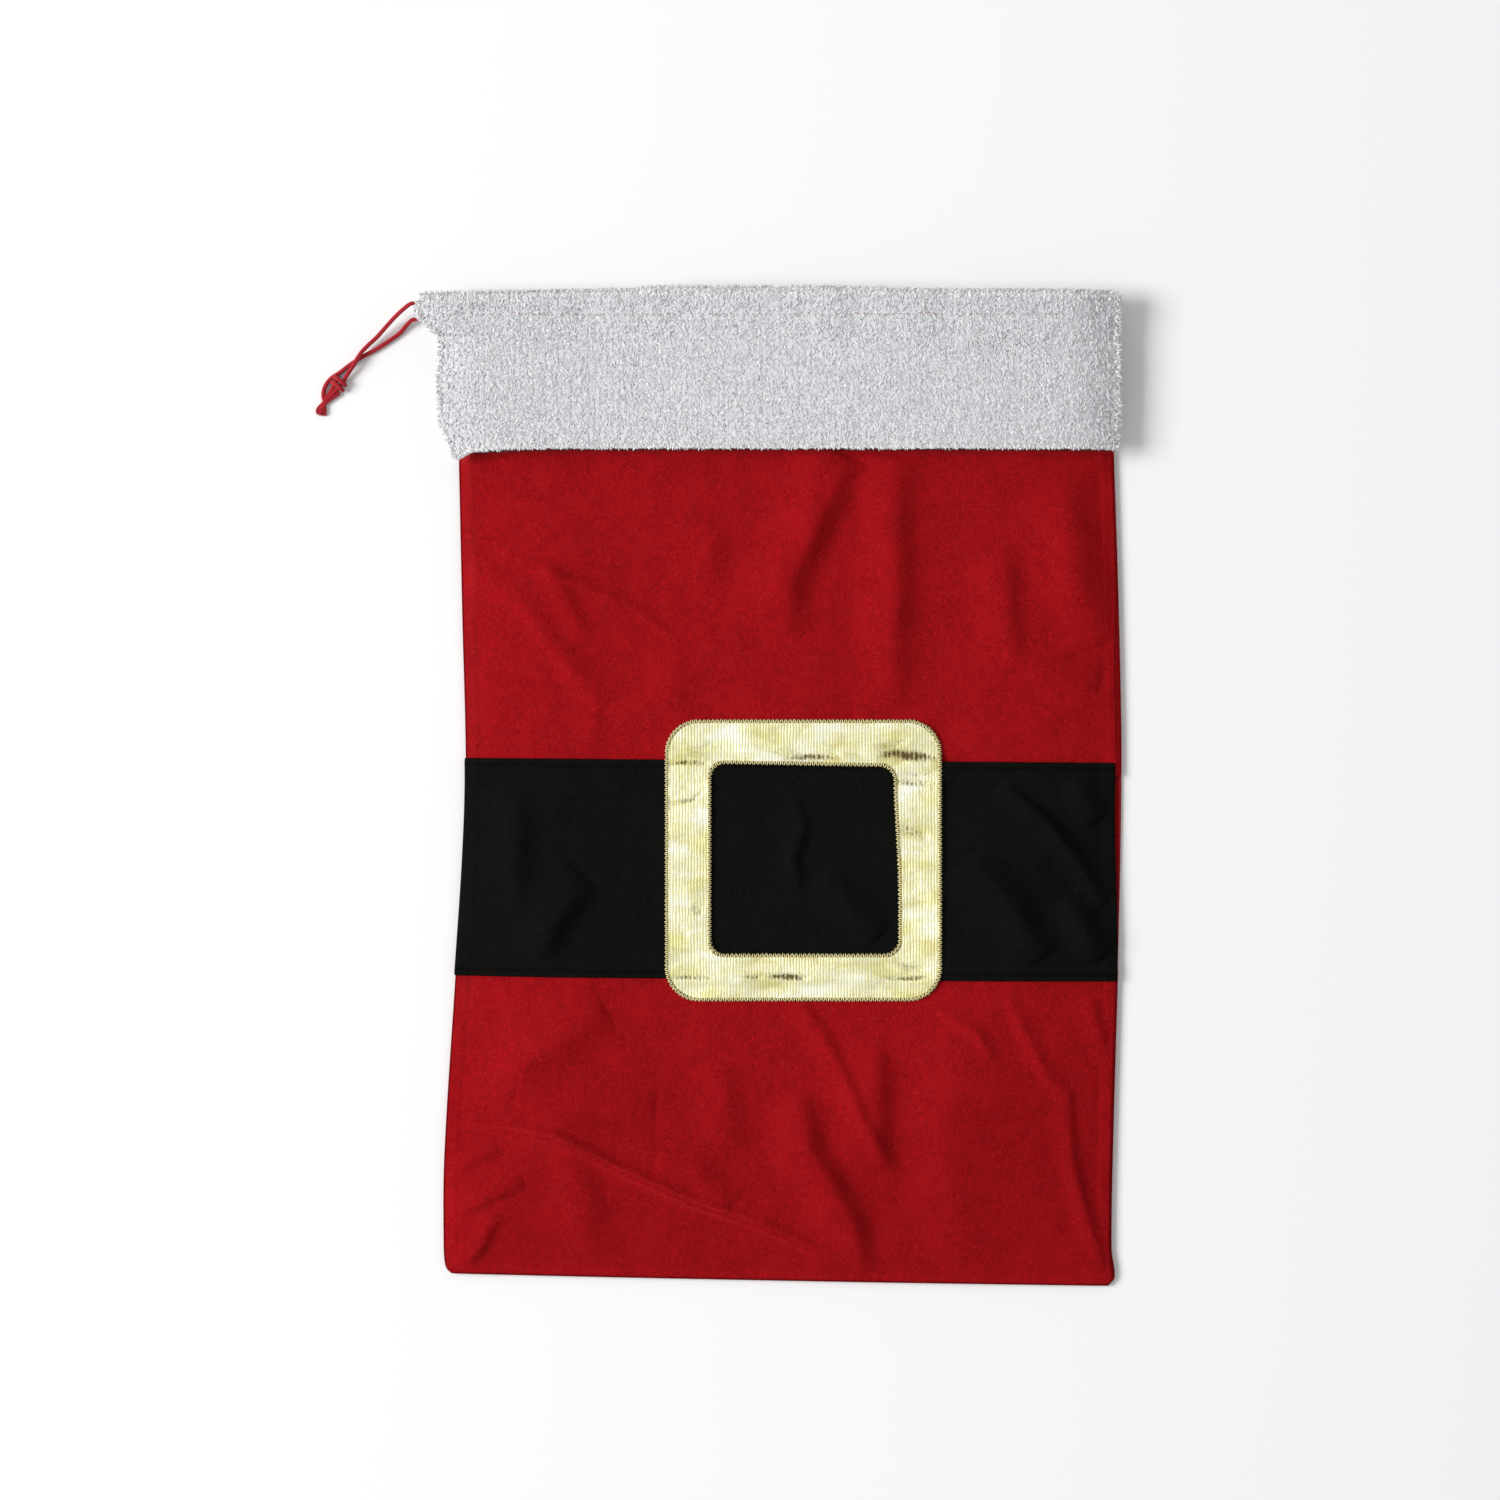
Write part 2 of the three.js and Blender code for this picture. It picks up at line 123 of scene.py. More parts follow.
# ---- Curves and noise ----
def through(points):
    """A smooth curve through (at, value) pairs, which keeps its end values beyond them."""
    at, value = np.array(points, float).T
    slope = np.gradient(value, at)
    slope[1:-1] = (value[2:] - value[:-2]) / (at[2:] - at[:-2])

    def curve(x):
        x = np.clip(x, at[0], at[-1])
        i = np.clip(np.searchsorted(at, x, side="right") - 1, 0, len(at) - 2)
        span = at[i + 1] - at[i]
        u = (x - at[i]) / span
        rest = 1 - u
        ends = (1 + 2 * u) * rest**2 * value[i] + u**2 * (3 - 2 * u) * value[i + 1]
        return ends + u * rest * span * (rest * slope[i] - u * slope[i + 1])

    return curve


def ease(t):
    """0 below 0, 1 above 1, and smooth between."""
    t = np.clip(t, 0, 1)
    return t * t * (3 - 2 * t)


def unit(vectors):
    return vectors / (np.linalg.norm(vectors, axis=-1, keepdims=True) + 1e-9)


def noise(x, y, size, seed):
    """Smooth noise from -1 to 1, with bumps about size across."""
    table = np.random.default_rng(seed).uniform(-1, 1, (128, 128))
    column, row = np.floor(x / size).astype(int), np.floor(y / size).astype(int)
    u, v = ease(x / size - column), ease(y / size - row)

    def corner(a, b):
        return table[(column + a) % 128, (row + b) % 128]

    low = corner(0, 0) * (1 - u) + corner(1, 0) * u
    high = corner(0, 1) * (1 - u) + corner(1, 1) * u
    return low * (1 - v) + high * v


def along_path(path):
    """Distance along a path at each of its points."""
    return np.concatenate([[0], np.cumsum(np.linalg.norm(np.diff(path, axis=0), axis=1))])


def at_places(place, along, path):
    """Points at those distances along a path."""
    return np.stack([np.interp(place, along, column) for column in path.T], -1)


def beside(x, y, points):
    """Distance to the line through points, share of the way along it, and whether a place is on its left."""
    points = np.array(points, float)
    steps = np.linalg.norm(np.diff(points, axis=0), axis=1)
    starts = along_path(points)
    best = np.full(np.shape(x), np.inf)
    share = np.zeros(np.shape(x))
    left = np.zeros(np.shape(x), bool)
    for a, b, start, step in zip(points, points[1:], starts, steps):
        along, up = b - a
        t = np.clip(((x - a[0]) * along + (y - a[1]) * up) / step**2, 0, 1)
        away = np.hypot(x - a[0] - t * along, y - a[1] - t * up)
        closer = away < best
        share = np.where(closer, (start + t * step) / starts[-1], share)
        left = np.where(closer, along * (y - a[1]) - up * (x - a[0]) > 0, left)
        best = np.minimum(away, best)
    return best, share, left


def near(x, y, points, width):
    """1 on the line through points, falling to 0 about two widths away and towards its ends."""
    away, share, _ = beside(x, y, points)
    return np.exp(-((away / width) ** 2)) * np.sqrt(np.sin(np.pi * share))


def folds(x, y, table):
    """Height of folds in a cloth. A fold's crest runs through its points, with its long, gentle side on the
    left of the way along them and its short, steep side on the right."""
    height = np.zeros(np.shape(x))
    for points, crest, gentle, steep in table:
        away, share, left = beside(x, y, points)
        width = np.where(left, gentle, steep)
        height += FOLD_DEPTH * crest * np.exp(-((away / width) ** 2)) * np.sqrt(np.sin(np.pi * share))
    return height


def resample(points, step):
    """Points about step apart on a centripetal Catmull-Rom curve through points."""
    points = np.array(points, float)
    points = np.vstack([2 * points[0] - points[1], points, 2 * points[-1] - points[-2]])
    out = []
    for a, b, c, d in zip(points, points[1:], points[2:], points[3:]):
        knots = np.cumsum([0, *(np.sqrt(np.linalg.norm(q - p)) for p, q in ((a, b), (b, c), (c, d)))])
        count = max(2, round(np.linalg.norm(c - b) / step))
        t = np.linspace(knots[1], knots[2], count, endpoint=False)[:, None]

        def mix(p, q, low, high):
            return ((knots[high] - t) * p + (t - knots[low]) * q) / (knots[high] - knots[low])

        first, second, third = mix(a, b, 0, 1), mix(b, c, 1, 2), mix(c, d, 2, 3)
        out.append(mix(mix(first, second, 0, 2), mix(second, third, 1, 3), 1, 2))
    return np.vstack([*out, points[-2:-1]])


# ---- Outline of the sack, as in the CAD ----
body_left = through([
    (-342, -223), (-339.6, -226), (-336, -227.6), (-324, -228.6), (-261, -228.2), (-135, -220.5),
    (-51, -215), (12, -213), (120, -215.5), (236, -218),
])
body_right = through([
    (-350, 239), (-345, 243), (-324, 240.8), (-240, 242.2), (-114, 245.7), (12, 247.8), (120, 246),
    (236, 242.4),
])
bottom = through([(-229, -341.5), (-100, -344.5), (80, -348), (241, -350.4)])
belt_high = through([(-213, 20.7), (0, 19), (247, 17.2)])
belt_low = through([(-220, -132), (0, -134.5), (246, -136.2)])
cuff_left = through([
    (229, -220), (240, -224), (257, -231), (290, -232.5), (314, -231), (320, -237), (327, -244),
    (333, -247.8), (338, -246), (343, -240), (347, -234), (350.4, -228),
])
cuff_right = through([(229, 243.5), (270, 245.5), (320, 245.5), (344, 244.5), (350.4, 240)])


def seam(x):
    """Y of the seam between the cuff and the panels, which dips at its left end."""
    return CUFF_SEAM - 5.5 * (1 - ease((x + 220) / 14)) - 1.5 * (1 - ease((x + 206) / 50))


def belt_gap(y):
    """Width at the belt's right end where the back's red cloth shows beside it."""
    return 0.4 + 4.2 * ease((y + 132) / 120)


def belt_left(y):
    return body_left(y) - 0.8


def belt_right(y):
    return body_right(y) - belt_gap(y)


def grid_lines(length, step):
    """Shares from 0 to 1 about step apart over length, closer together at both ends."""
    t = np.linspace(0, 1, max(3, round(length / step)))
    return t - 0.35 * np.sin(2 * np.pi * t) / (2 * np.pi)


def panel_grid(step, low, high, left_edge=body_left, right_edge=body_right):
    """X and Y of a grid over a body panel between the curves low and high and its two side edges."""
    inset = FELT / 2
    u = grid_lines(460, step)[:, None]
    v = grid_lines(high(0) - low(0), step)[None, :]
    guess = -215 + 458 * u
    y = low(guess) + (high(guess) - low(guess)) * v
    left, right = left_edge(y) + inset, right_edge(y) - inset
    x = left + (right - left) * u
    bottom_edge, top_edge = low(x) + inset, high(x) - inset
    return x, bottom_edge + (top_edge - bottom_edge) * v


# ---- Heights ----
# Folds in the front cloth, each with the height of its crest and the widths of its gentle and its steep side.
FOLDS = [
    ([(9, 106), (14, 146), (34, 190), (55, 232)], 2.3, 24, 12),
    ([(87, 56), (86, 105), (88, 143), (86, 186), (88, 232)], 1.9, 18, 13),
    ([(168, 80), (166, 122), (163, 170)], 1.35, 18, 10),
    ([(164, 92), (192, 80), (232, 73)], 1.2, 13, 7),
    ([(232, 100), (216, 148), (205, 216)], 1.9, 18, 16),
    ([(-187, 163), (-160, 153), (-117, 134), (-91, 123), (-64, 101)], 0.7, 5, 2.6),
    ([(-212, 150), (-177, 133), (-150, 98), (-116, 56)], 1.2, 11, 8),
    ([(-128, 100), (-141, 127), (-158, 160)], 0.85, 11, 7),
    ([(-66, 46), (-69, 92)], 0.6, 12, 10),
    ([(-125, 22), (-121, 54)], 0.4, 9, 6),
    ([(-46, 138), (-40, 185)], 1.0, 18, 13),
    ([(92, -276), (65, -234), (54, -207), (38, -174), (20, -150)], 1.0, 9, 5),
    ([(73, -270), (75, -216), (71, -172)], 1.6, 18, 11),
    ([(66, -344), (58, -308), (42, -277), (27, -254), (20, -212)], 2.3, 18, 10),
    ([(-219, -238), (-182, -238.5), (-150, -244), (-107, -265.5), (-53, -289.5), (-5, -305.5), (49, -331)],
     1.0, 3.6, 2.8),
    ([(-182, -243.5), (-151, -249), (-108, -270.5), (-54, -294.5), (-6, -310.5), (46, -335)], 0.9, 3.6, 2.8),
    ([(-219, -266), (-206, -260.5), (-190, -254)], 0.7, 7, 4),
    ([(-218, -298), (-198, -288), (-172, -277)], 0.9, 8, 4),
    ([(-217, -338), (-203, -323), (-191, -298)], 0.9, 8, 5),
    ([(-124, -338), (-130, -292), (-144, -244)], 1.1, 18, 14),
    ([(-196, -222), (-168, -188), (-112, -160)], 1.7, 20, 16),
    ([(-177, -216), (-123, -226), (-80, -226)], 1.3, 16, 10),
    ([(-28, -254), (-34, -192)], 0.9, 16, 12),
    ([(118, -156), (145, -172), (156, -189)], 0.8, 6, 4),
    ([(164, -138), (177, -168), (193, -200), (211, -220)], 0.6, 7, 4),
    ([(234, -338), (220, -292), (212, -260), (208, -212)], 0.9, 8, 4.5),
    ([(237, -190), (225, -148)], 0.6, 7, 5),
    ([(138, -346), (130, -290), (126, -240), (131, -155)], 1.3, 24, 34),
    ([(-78, -262), (-50, -270), (-25, -292)], 1.2, 10, 9),
]
# Unevenness of the front cloth between its folds: height, size across, and seed.
SLACK = [(1.6, 74, 1), (0.8, 30, 2), (0.14, 9, 8)]
# Where the two crests of the double crease across the lower panel start, among those folds.
CREASE_STARTS = [(-219, -238), (-182, -243.5)]
# Folds in the belt, over those of the cloth beneath it.
BELT_FOLDS = [
    ([(-165, -122), (-147, -88), (-126, -66)], 2.2, 20, 10),
    ([(-178, -92), (-176, 2)], 1.4, 14, 10),
    ([(22, -74), (17, -50), (24, -28), (18, -8)], 1.0, 7, 4),
    ([(78, -104), (36, -62)], 1.8, 12, 12),
    ([(236, -82), (215, -50), (194, -24), (163, 2)], 1.9, 8, 4.5),
    ([(191, -120), (168, -82), (139, -50)], 2.6, 15, 13),
    ([(233, -120), (208, -76)], 2.1, 11, 10),
    ([(212, 4), (232, -22)], 1.6, 10, 10),
]


def from_seams(x, y):
    """Distance to the nearest of the two side seams and the bottom seam, rounded off at the corners."""
    soft = 4
    total = sum(np.exp(-d / soft) for d in (x - body_left(y), body_right(y) - x, y - bottom(x)))
    return np.maximum(-soft * np.log(total), 0)


def front_low(x, y):
    """Underside of the front cloth: a pillow over the back, with its seam allowance, creases and slack."""
    side = from_seams(x, y)
    rise = 1 - (1 - np.clip(side / PANEL_SLOPE, 0, 1)) ** 1.7
    allowance = 0.5 * ease(side / 2) * (1 - ease((side - ALLOWANCE) / 3))
    slack = sum(height * noise(x, y, across, seed) for height, across, seed in SLACK)
    lifted = 1.0 * np.exp(-np.maximum(seam(x) - y, 0) / 6)
    loose = ease(side / 12) * (slack + folds(x, y, FOLDS) + lifted)
    return SEAM_Z + (PUFF - SEAM_Z) * rise + allowance + loose


def belt_low_z(x, y):
    """Underside of the belt, which rests on the red cloth along its edges and sinks a little between them."""
    lap = np.minimum(belt_high(x) - y, y - belt_low(x))
    beneath = x + belt_gap(y) * ease((x - belt_right(y) + 40) / 40)
    middle = ease((lap - 7) / 8)
    return front_low(beneath, y) + BELT_LIFT + middle * (folds(x, y, BELT_FOLDS) - 0.7)


BUCKLE_LOW, BUCKLE_HIGH = box("buckle_frame")
STITCH_LOW, STITCH_HIGH = box("buckle_inner_stitch")
WINDOW_LOW, WINDOW_HIGH = STITCH_LOW + ZIGZAG / 2, STITCH_HIGH - ZIGZAG / 2
BUCKLE_RADIUS = 23  # of its outer corners
WINDOW_RADIUS = 10
BUCKLE_WIDTH = 32  # of the gold cloth between the ring's two edges
# Puckers in the buckle, where it bends over the belt's edges and pulls: points, half width, height.
PUCKERS = [
    ([(76, 22), (90, 23.5), (104, 23), (119, 20.5)], 2.0, -1.3),
    ([(88, 20), (100, 20.5), (112, 18.5)], 1.3, -0.7),
    ([(70, 27), (84, 29), (98, 33)], 2.2, -0.6),
    ([(-72, 16), (-56, 17.5), (-41, 17)], 1.5, -1.0),
    ([(-64, 22), (-48, 26), (-34, 33)], 2.5, -0.5),
    ([(10, 20), (28, 21.5), (52, 21.5)], 1.7, -1.0),
    ([(-10, 30), (8, 25), (30, 26)], 2.2, -0.5),
    ([(87, 3.5), (103, 3), (119, 2)], 1.7, -0.9),
    ([(90, 9), (105, 8.5), (118, 9.5)], 1.5, -0.6),
    ([(88, -26), (100, -30), (112, -36)], 3.0, -0.7),
    ([(-70, -12), (-62, -10.5), (-54, -9), (-46, -3)], 1.3, -0.9),
    ([(-72, 4), (-58, 2), (-44, 4)], 1.8, -0.4),
    ([(-2, -133), (12, -132.5), (28, -134)], 1.9, -1.2),
    ([(-24, -132), (-12, -133), (0, -132)], 1.4, -0.7),
    ([(78, -134), (96, -134), (114, -133)], 1.5, -1.0),
    ([(-70, -134), (-56, -133), (-40, -134)], 1.5, -0.9),
    ([(88, -120), (98, -126), (112, -128)], 2.2, -0.6),
    ([(-54, -83), (-50, -86), (-47, -89)], 3.4, -0.7),
    ([(-64, -97), (-60, -101), (-56, -104)], 3.2, -0.4),
]


def buckle_low_z(x, y):
    """Underside of the buckle: over the belt, and down onto the red cloth past the belt's two edges."""
    over = ease((belt_high(x) - y + 7) / 9) * ease((y - belt_low(x) + 7) / 9)
    beneath = front_low(x, y) + over * (BELT_LIFT - 0.2 + FELT) + (1 - over) * FELT
    puckers = sum(depth * near(x, y, points, width) for points, width, depth in PUCKERS)
    ripples = 0.55 * noise(x * 0.5, y, 9, 3) + 0.15 * noise(x * 0.7, y, 4, 4)
    return beneath + 0.7 + puckers + ripples


def cuff_side(x, y):
    """Share of the way up from the cuff's side edges to its full height."""
    side = np.minimum(x - cuff_left(y), cuff_right(y) - x)
    return 1 - (1 - np.clip(side / SLOPE, 0, 1)) ** 2.2


front_outer_z = through([
    (237, 7.8), (243, 8.9), (252, 10.8), (270, 13.4), (292, 17.2), (313, 20.6), (322, 21.6), (329, 21.9),
    (334, 22.4), (338.5, 23.2), (350, 23.8),
])
front_edge_z = through([
    (237, 3.2), (299, 4.4), (313, 13.4), (322, 15.0), (330, 14.8), (336, 17.0), (350, 17.4),
])
HEM_FRONT = (20.4, 14.0)  # height of the front hem's face towards the casing, in the middle and at its sides
back_hem_z = through([(313, 4.7), (321, 4.4), (327, 7.3), (331, 7.6), (350, 7.6)])


def sewn_slack(x, y):
    """Slack in the cuff: shallow upright folds and a broad unevenness."""
    return 0.8 * noise(x, y * 0.25, 21, 5) + 0.6 * noise(x, y, 60, 6)


def front_cuff_z(x, y):
    """Underside of the front cuff's outer layer."""
    share = cuff_side(x, y)
    return front_edge_z(y) + (front_outer_z(y) - front_edge_z(y)) * share + share * sewn_slack(x, y)


# ---- Meshes ----
def build(name, points, faces, finish, tone=None):
    """A smooth mesh object from points in millimetres and arrays of faces. It keeps its points at rest for
    its material, and a tone from 0 to 1 at each point."""
    points = np.asarray(points, float).reshape(-1, 3)
    faces = [np.asarray(f) for f in faces if len(f)]
    fans = [np.stack([f[:, 0], f[:, k], f[:, k + 1]], 1) for f in faces for k in range(1, f.shape[1] - 1)]
    a, b, c = (points[np.vstack(fans)[:, k]] for k in range(3))
    if np.einsum("ij,ij->", a, np.cross(b, c)) < 0:
        faces = [f[:, ::-1] for f in faces]
    counts = np.concatenate([np.full(len(f), f.shape[1]) for f in faces])
    corners = np.concatenate([f.ravel() for f in faces])
    mesh = bpy.data.meshes.new(name)
    mesh.vertices.add(len(points))
    mesh.vertices.foreach_set("co", (points * MM).astype(np.float32).ravel())
    mesh.loops.add(len(corners))
    mesh.loops.foreach_set("vertex_index", corners.astype(np.int32))
    mesh.polygons.add(len(counts))
    mesh.polygons.foreach_set("loop_start", np.concatenate([[0], np.cumsum(counts)[:-1]]).astype(np.int32))
    mesh.polygons.foreach_set("use_smooth", np.ones(len(counts), bool))
    mesh.update(calc_edges=True)
    rest = mesh.attributes.new("rest", "FLOAT_VECTOR", "POINT")
    rest.data.foreach_set("vector", points.astype(np.float32).ravel())
    shade = mesh.attributes.new("tone", "FLOAT", "POINT")
    tone = np.full(len(points), 0.5) if tone is None else tone
    shade.data.foreach_set("value", np.asarray(tone, np.float32).ravel())
    mesh.materials.append(finish.material)
    made = bpy.data.objects.new(name, mesh)
    bpy.context.scene.collection.objects.link(made)
    return made


def rim(points, upper, lower, outward):
    """Points and faces of a rounded rim between two loops of point indices. outward is +1 or -1."""
    rings = 4
    u, low = points[upper], points[lower]
    along = np.roll(u, -1, 0) - np.roll(u, 1, 0)
    away = unit(np.cross(along, u - low)) * outward
    half = np.linalg.norm(u - low, axis=1, keepdims=True) / 2
    angles = np.pi * np.arange(1, rings) / rings
    added = np.vstack([(u + low) / 2 + (u - low) / 2 * np.cos(t) + away * half * np.sin(t) for t in angles])
    loops = [upper, *(len(points) + np.arange(len(added)).reshape(rings - 1, -1)), lower]
    faces = [np.stack([p, np.roll(p, -1), np.roll(q, -1), q], 1) for p, q in zip(loops, loops[1:])]
    return np.vstack([points, added]), np.vstack(faces)


def slab(upper, lower, ring=False):
    """Points and faces of a closed cloth between two grids of points, rows by columns by 3. A ring's columns
    join up round it, and it has a rim at its first and its last row."""
    rows, columns = upper.shape[:2]
    points = np.vstack([upper.reshape(-1, 3), lower.reshape(-1, 3)])
    index = np.arange(rows * columns).reshape(rows, columns)
    if ring:
        cells = np.hstack([index, index[:, :1]])
        loops = [(index[0], -1, 1), (index[-1], 1, -1)]
    else:
        cells = index
        edge = np.concatenate([index[0, :-1], index[:-1, -1], index[-1, :0:-1], index[:0:-1, 0]])
        loops = [(edge, way_out(points, edge, edge + rows * columns), 1)]
    quads = np.stack([cells[:-1, :-1], cells[1:, :-1], cells[1:, 1:], cells[:-1, 1:]], -1).reshape(-1, 4)
    faces = [quads, quads[:, ::-1] + rows * columns]
    for loop, outward, turn in loops:
        points, added = rim(points, loop, loop + rows * columns, outward)
        faces.append(added[:, ::turn])
    return points, faces


def way_out(points, upper, lower):
    """+1 if the cross product of a loop's direction and the cloth's thickness points outwards, else -1."""
    u = points[upper]
    along = np.roll(u, -1, 0) - np.roll(u, 1, 0)
    away = np.cross(along, u - points[lower])
    return 1 if np.sum(away * (u - u.mean(0))) > 0 else -1


def strands(paths, radii, sides, reference=(0.0, 0.0, 1.0)):
    """Points and faces of closed tubes along paths, an array of count by rings by 3. radii is one value per
    ring, or an array that fits count by rings by sides."""
    paths = np.asarray(paths, float)
    count, rings = paths.shape[:2]
    tangent = unit(np.gradient(paths, axis=1))
    side = unit(np.cross(tangent, np.broadcast_to(reference, tangent.shape)))
    lift = np.cross(side, tangent)
    angle = 2 * np.pi * np.arange(sides) / sides
    spoke = side[:, :, None] * np.cos(angle)[:, None] + lift[:, :, None] * np.sin(angle)[:, None]
    radii = np.asarray(radii, float)
    radii = radii[None, :, None] if radii.ndim == 1 else radii
    points = paths[:, :, None] + spoke * np.broadcast_to(radii, (count, rings, sides))[..., None]
    index = np.arange(count * rings * sides).reshape(count, rings, sides)
    a, b = index[:, :-1], index[:, 1:]
    quads = np.stack([a, np.roll(a, -1, 2), np.roll(b, -1, 2), b], -1).reshape(-1, 4)
    ends = np.vstack([index[:, 0, ::-1], index[:, -1]])
    return points.reshape(-1, 3), [quads, ends]


# ---- Materials ----
class Finish:
    """A material made of nodes that read the points at rest, so that its pattern stays on a moving cloth."""

    def __init__(self, name, slot, **sockets):
        self.material = bpy.data.materials.new(name)
        self.material.use_nodes = True
        self.slot = slot
        self.tree = self.material.node_tree
        self.shader = self.tree.nodes["Principled BSDF"]
        for socket, value in sockets.items():
            self.shader.inputs[socket.replace("_", " ")].default_value = value
        self.rest = self.attribute("rest", "Vector")

    def node(self, kind, inputs, **settings):
        made = self.tree.nodes.new(kind)
        for name, value in settings.items():
            setattr(made, name, value)
        for socket, value in inputs.items():
            if isinstance(value, bpy.types.NodeSocket):
                self.tree.links.new(value, made.inputs[socket])
            else:
                made.inputs[socket].default_value = value
        return made

    def attribute(self, name, output):
        return self.node("ShaderNodeAttribute", {}, attribute_name=name).outputs[output]

    def noise(self, sizes, detail=2.0, roughness=0.5, distortion=0.0):
        """Noise from 0 to 1 with bumps of those sizes along X, Y and Z, in millimetres."""
        scaled = self.node(
            "ShaderNodeVectorMath", {0: self.rest, 1: [1 / size for size in sizes]}, operation="MULTIPLY"
        ).outputs[0]
        inputs = {"Vector": scaled, "Scale": 1.0, "Detail": detail}
        inputs.update({"Roughness": roughness, "Distortion": distortion})
        return self.node("ShaderNodeTexNoise", inputs).outputs["Fac"]

    def band(self, value, low, high, out_low=0.0, out_high=1.0):
        """value from low to high, smoothly, as out_low to out_high."""
        inputs = {"Value": value, "From Min": low, "From Max": high, "To Min": out_low, "To Max": out_high}
        return self.node("ShaderNodeMapRange", inputs, interpolation_type="SMOOTHSTEP").outputs[0]

    def mix(self, factor, first, second):
        first, second = (c if isinstance(c, bpy.types.NodeSocket) else (*c, 1.0) for c in (first, second))
        inputs = {0: factor, 6: first, 7: second}
        return self.node("ShaderNodeMix", inputs, data_type="RGBA").outputs[2]

    def sum(self, first, second, share):
        """first plus share times second."""
        inputs = {0: second, 1: share, 2: first}
        return self.node("ShaderNodeMath", inputs, operation="MULTIPLY_ADD").outputs[0]

    def bump(self, height, depth):
        """Relief of that depth in millimetres on the shader's normal."""
        inputs = {"Height": height, "Distance": depth * MM, "Strength": 1.0}
        made = self.node("ShaderNodeBump", inputs).outputs[0]
        self.tree.links.new(made, self.shader.inputs["Normal"])

    def paint(self, value, low, high, dark, light, layers):
        """The base colour, from dark to light as value goes from low to high. Over it comes each layer's
        colour, up to its share, as the layer's own value goes from its low to its high."""
        colour = self.mix(self.band(value, low, high), dark, light)
        for value, low, high, share, over in layers:
            colour = self.mix(self.band(value, low, high, 0.0, share), colour, over)
        self.tree.links.new(colour, self.shader.inputs["Base Color"])

    def rough(self, socket):
        self.tree.links.new(socket, self.shader.inputs["Roughness"])


def tint(colour, factor):
    return tuple(min(c * factor, 1.0) for c in colour)


def felt(name, slot, colour, painted_shade, painted_light, sheen):
    """Pressed felt: short matted fibres, faint clouds in the dye, and painted shade and light from a tone set
    point by point.
    """
    finish = Finish(
        name, slot, Roughness=0.95, Specular_IOR_Level=0.02, Sheen_Weight=sheen, Sheen_Roughness=0.6
    )
    finish.shader.inputs["Sheen Tint"].default_value = (*tint(colour, 2.5), 1.0)
    fibres = finish.noise((1.5, 1.9, 1.5), detail=4, roughness=0.75, distortion=0.8)
    matting = finish.noise((4.2, 5.2, 4), detail=4, roughness=0.6)
    clouds = finish.noise((16, 22, 16), detail=2)
    tone = finish.attribute("tone", "Fac")
    finish.paint(fibres, 0.3, 0.7, tint(colour, 0.62), tint(colour, 1.38), [
        (matting, 0.35, 0.68, 0.55, tint(colour, 0.78)),
        (clouds, 0.4, 0.7, 0.4, tint(colour, 1.2)),
        (tone, 0.5, 0.0, 1.0, painted_shade),
        (tone, 0.5, 1.0, 1.0, painted_light),
    ])
    finish.bump(finish.sum(fibres, matting, 1.5), 0.28)
    return finish


def plush(name, colour):
    """The pile's yarn and the knitted backing, white with a little grey between the loops."""
    finish = Finish(name, "white_plush", Roughness=0.9, Specular_IOR_Level=0.05, Sheen_Weight=0.08)
    loops = finish.noise((1.2, 1.6, 1.2), detail=3, roughness=0.6, distortion=0.8)
    columns = finish.noise((4.5, 40, 20), detail=1)
    tufts = finish.noise((5, 6, 5), detail=2)
    tone = finish.attribute("tone", "Fac")
    finish.paint(loops, 0.3, 0.65, tint(colour, 0.93), tint(colour, 1.04), [
        (tufts, 0.4, 0.7, 0.35, tint(colour, 0.94)),
        (columns, 0.55, 0.75, 0.3, tint(colour, 0.93)),
        # Tone below 0.5 darkens and above it lightens: painted light on the tufts that catch the light and on
        # the lightened rows.
        (tone, 0.5, 0.0, 1.0, tint(colour, 0.8)),
        (tone, 0.5, 1.0, 1.0, tint(colour, 1.42)),
    ])
    finish.bump(finish.sum(loops, tufts, 2.0), 0.5)
    return finish


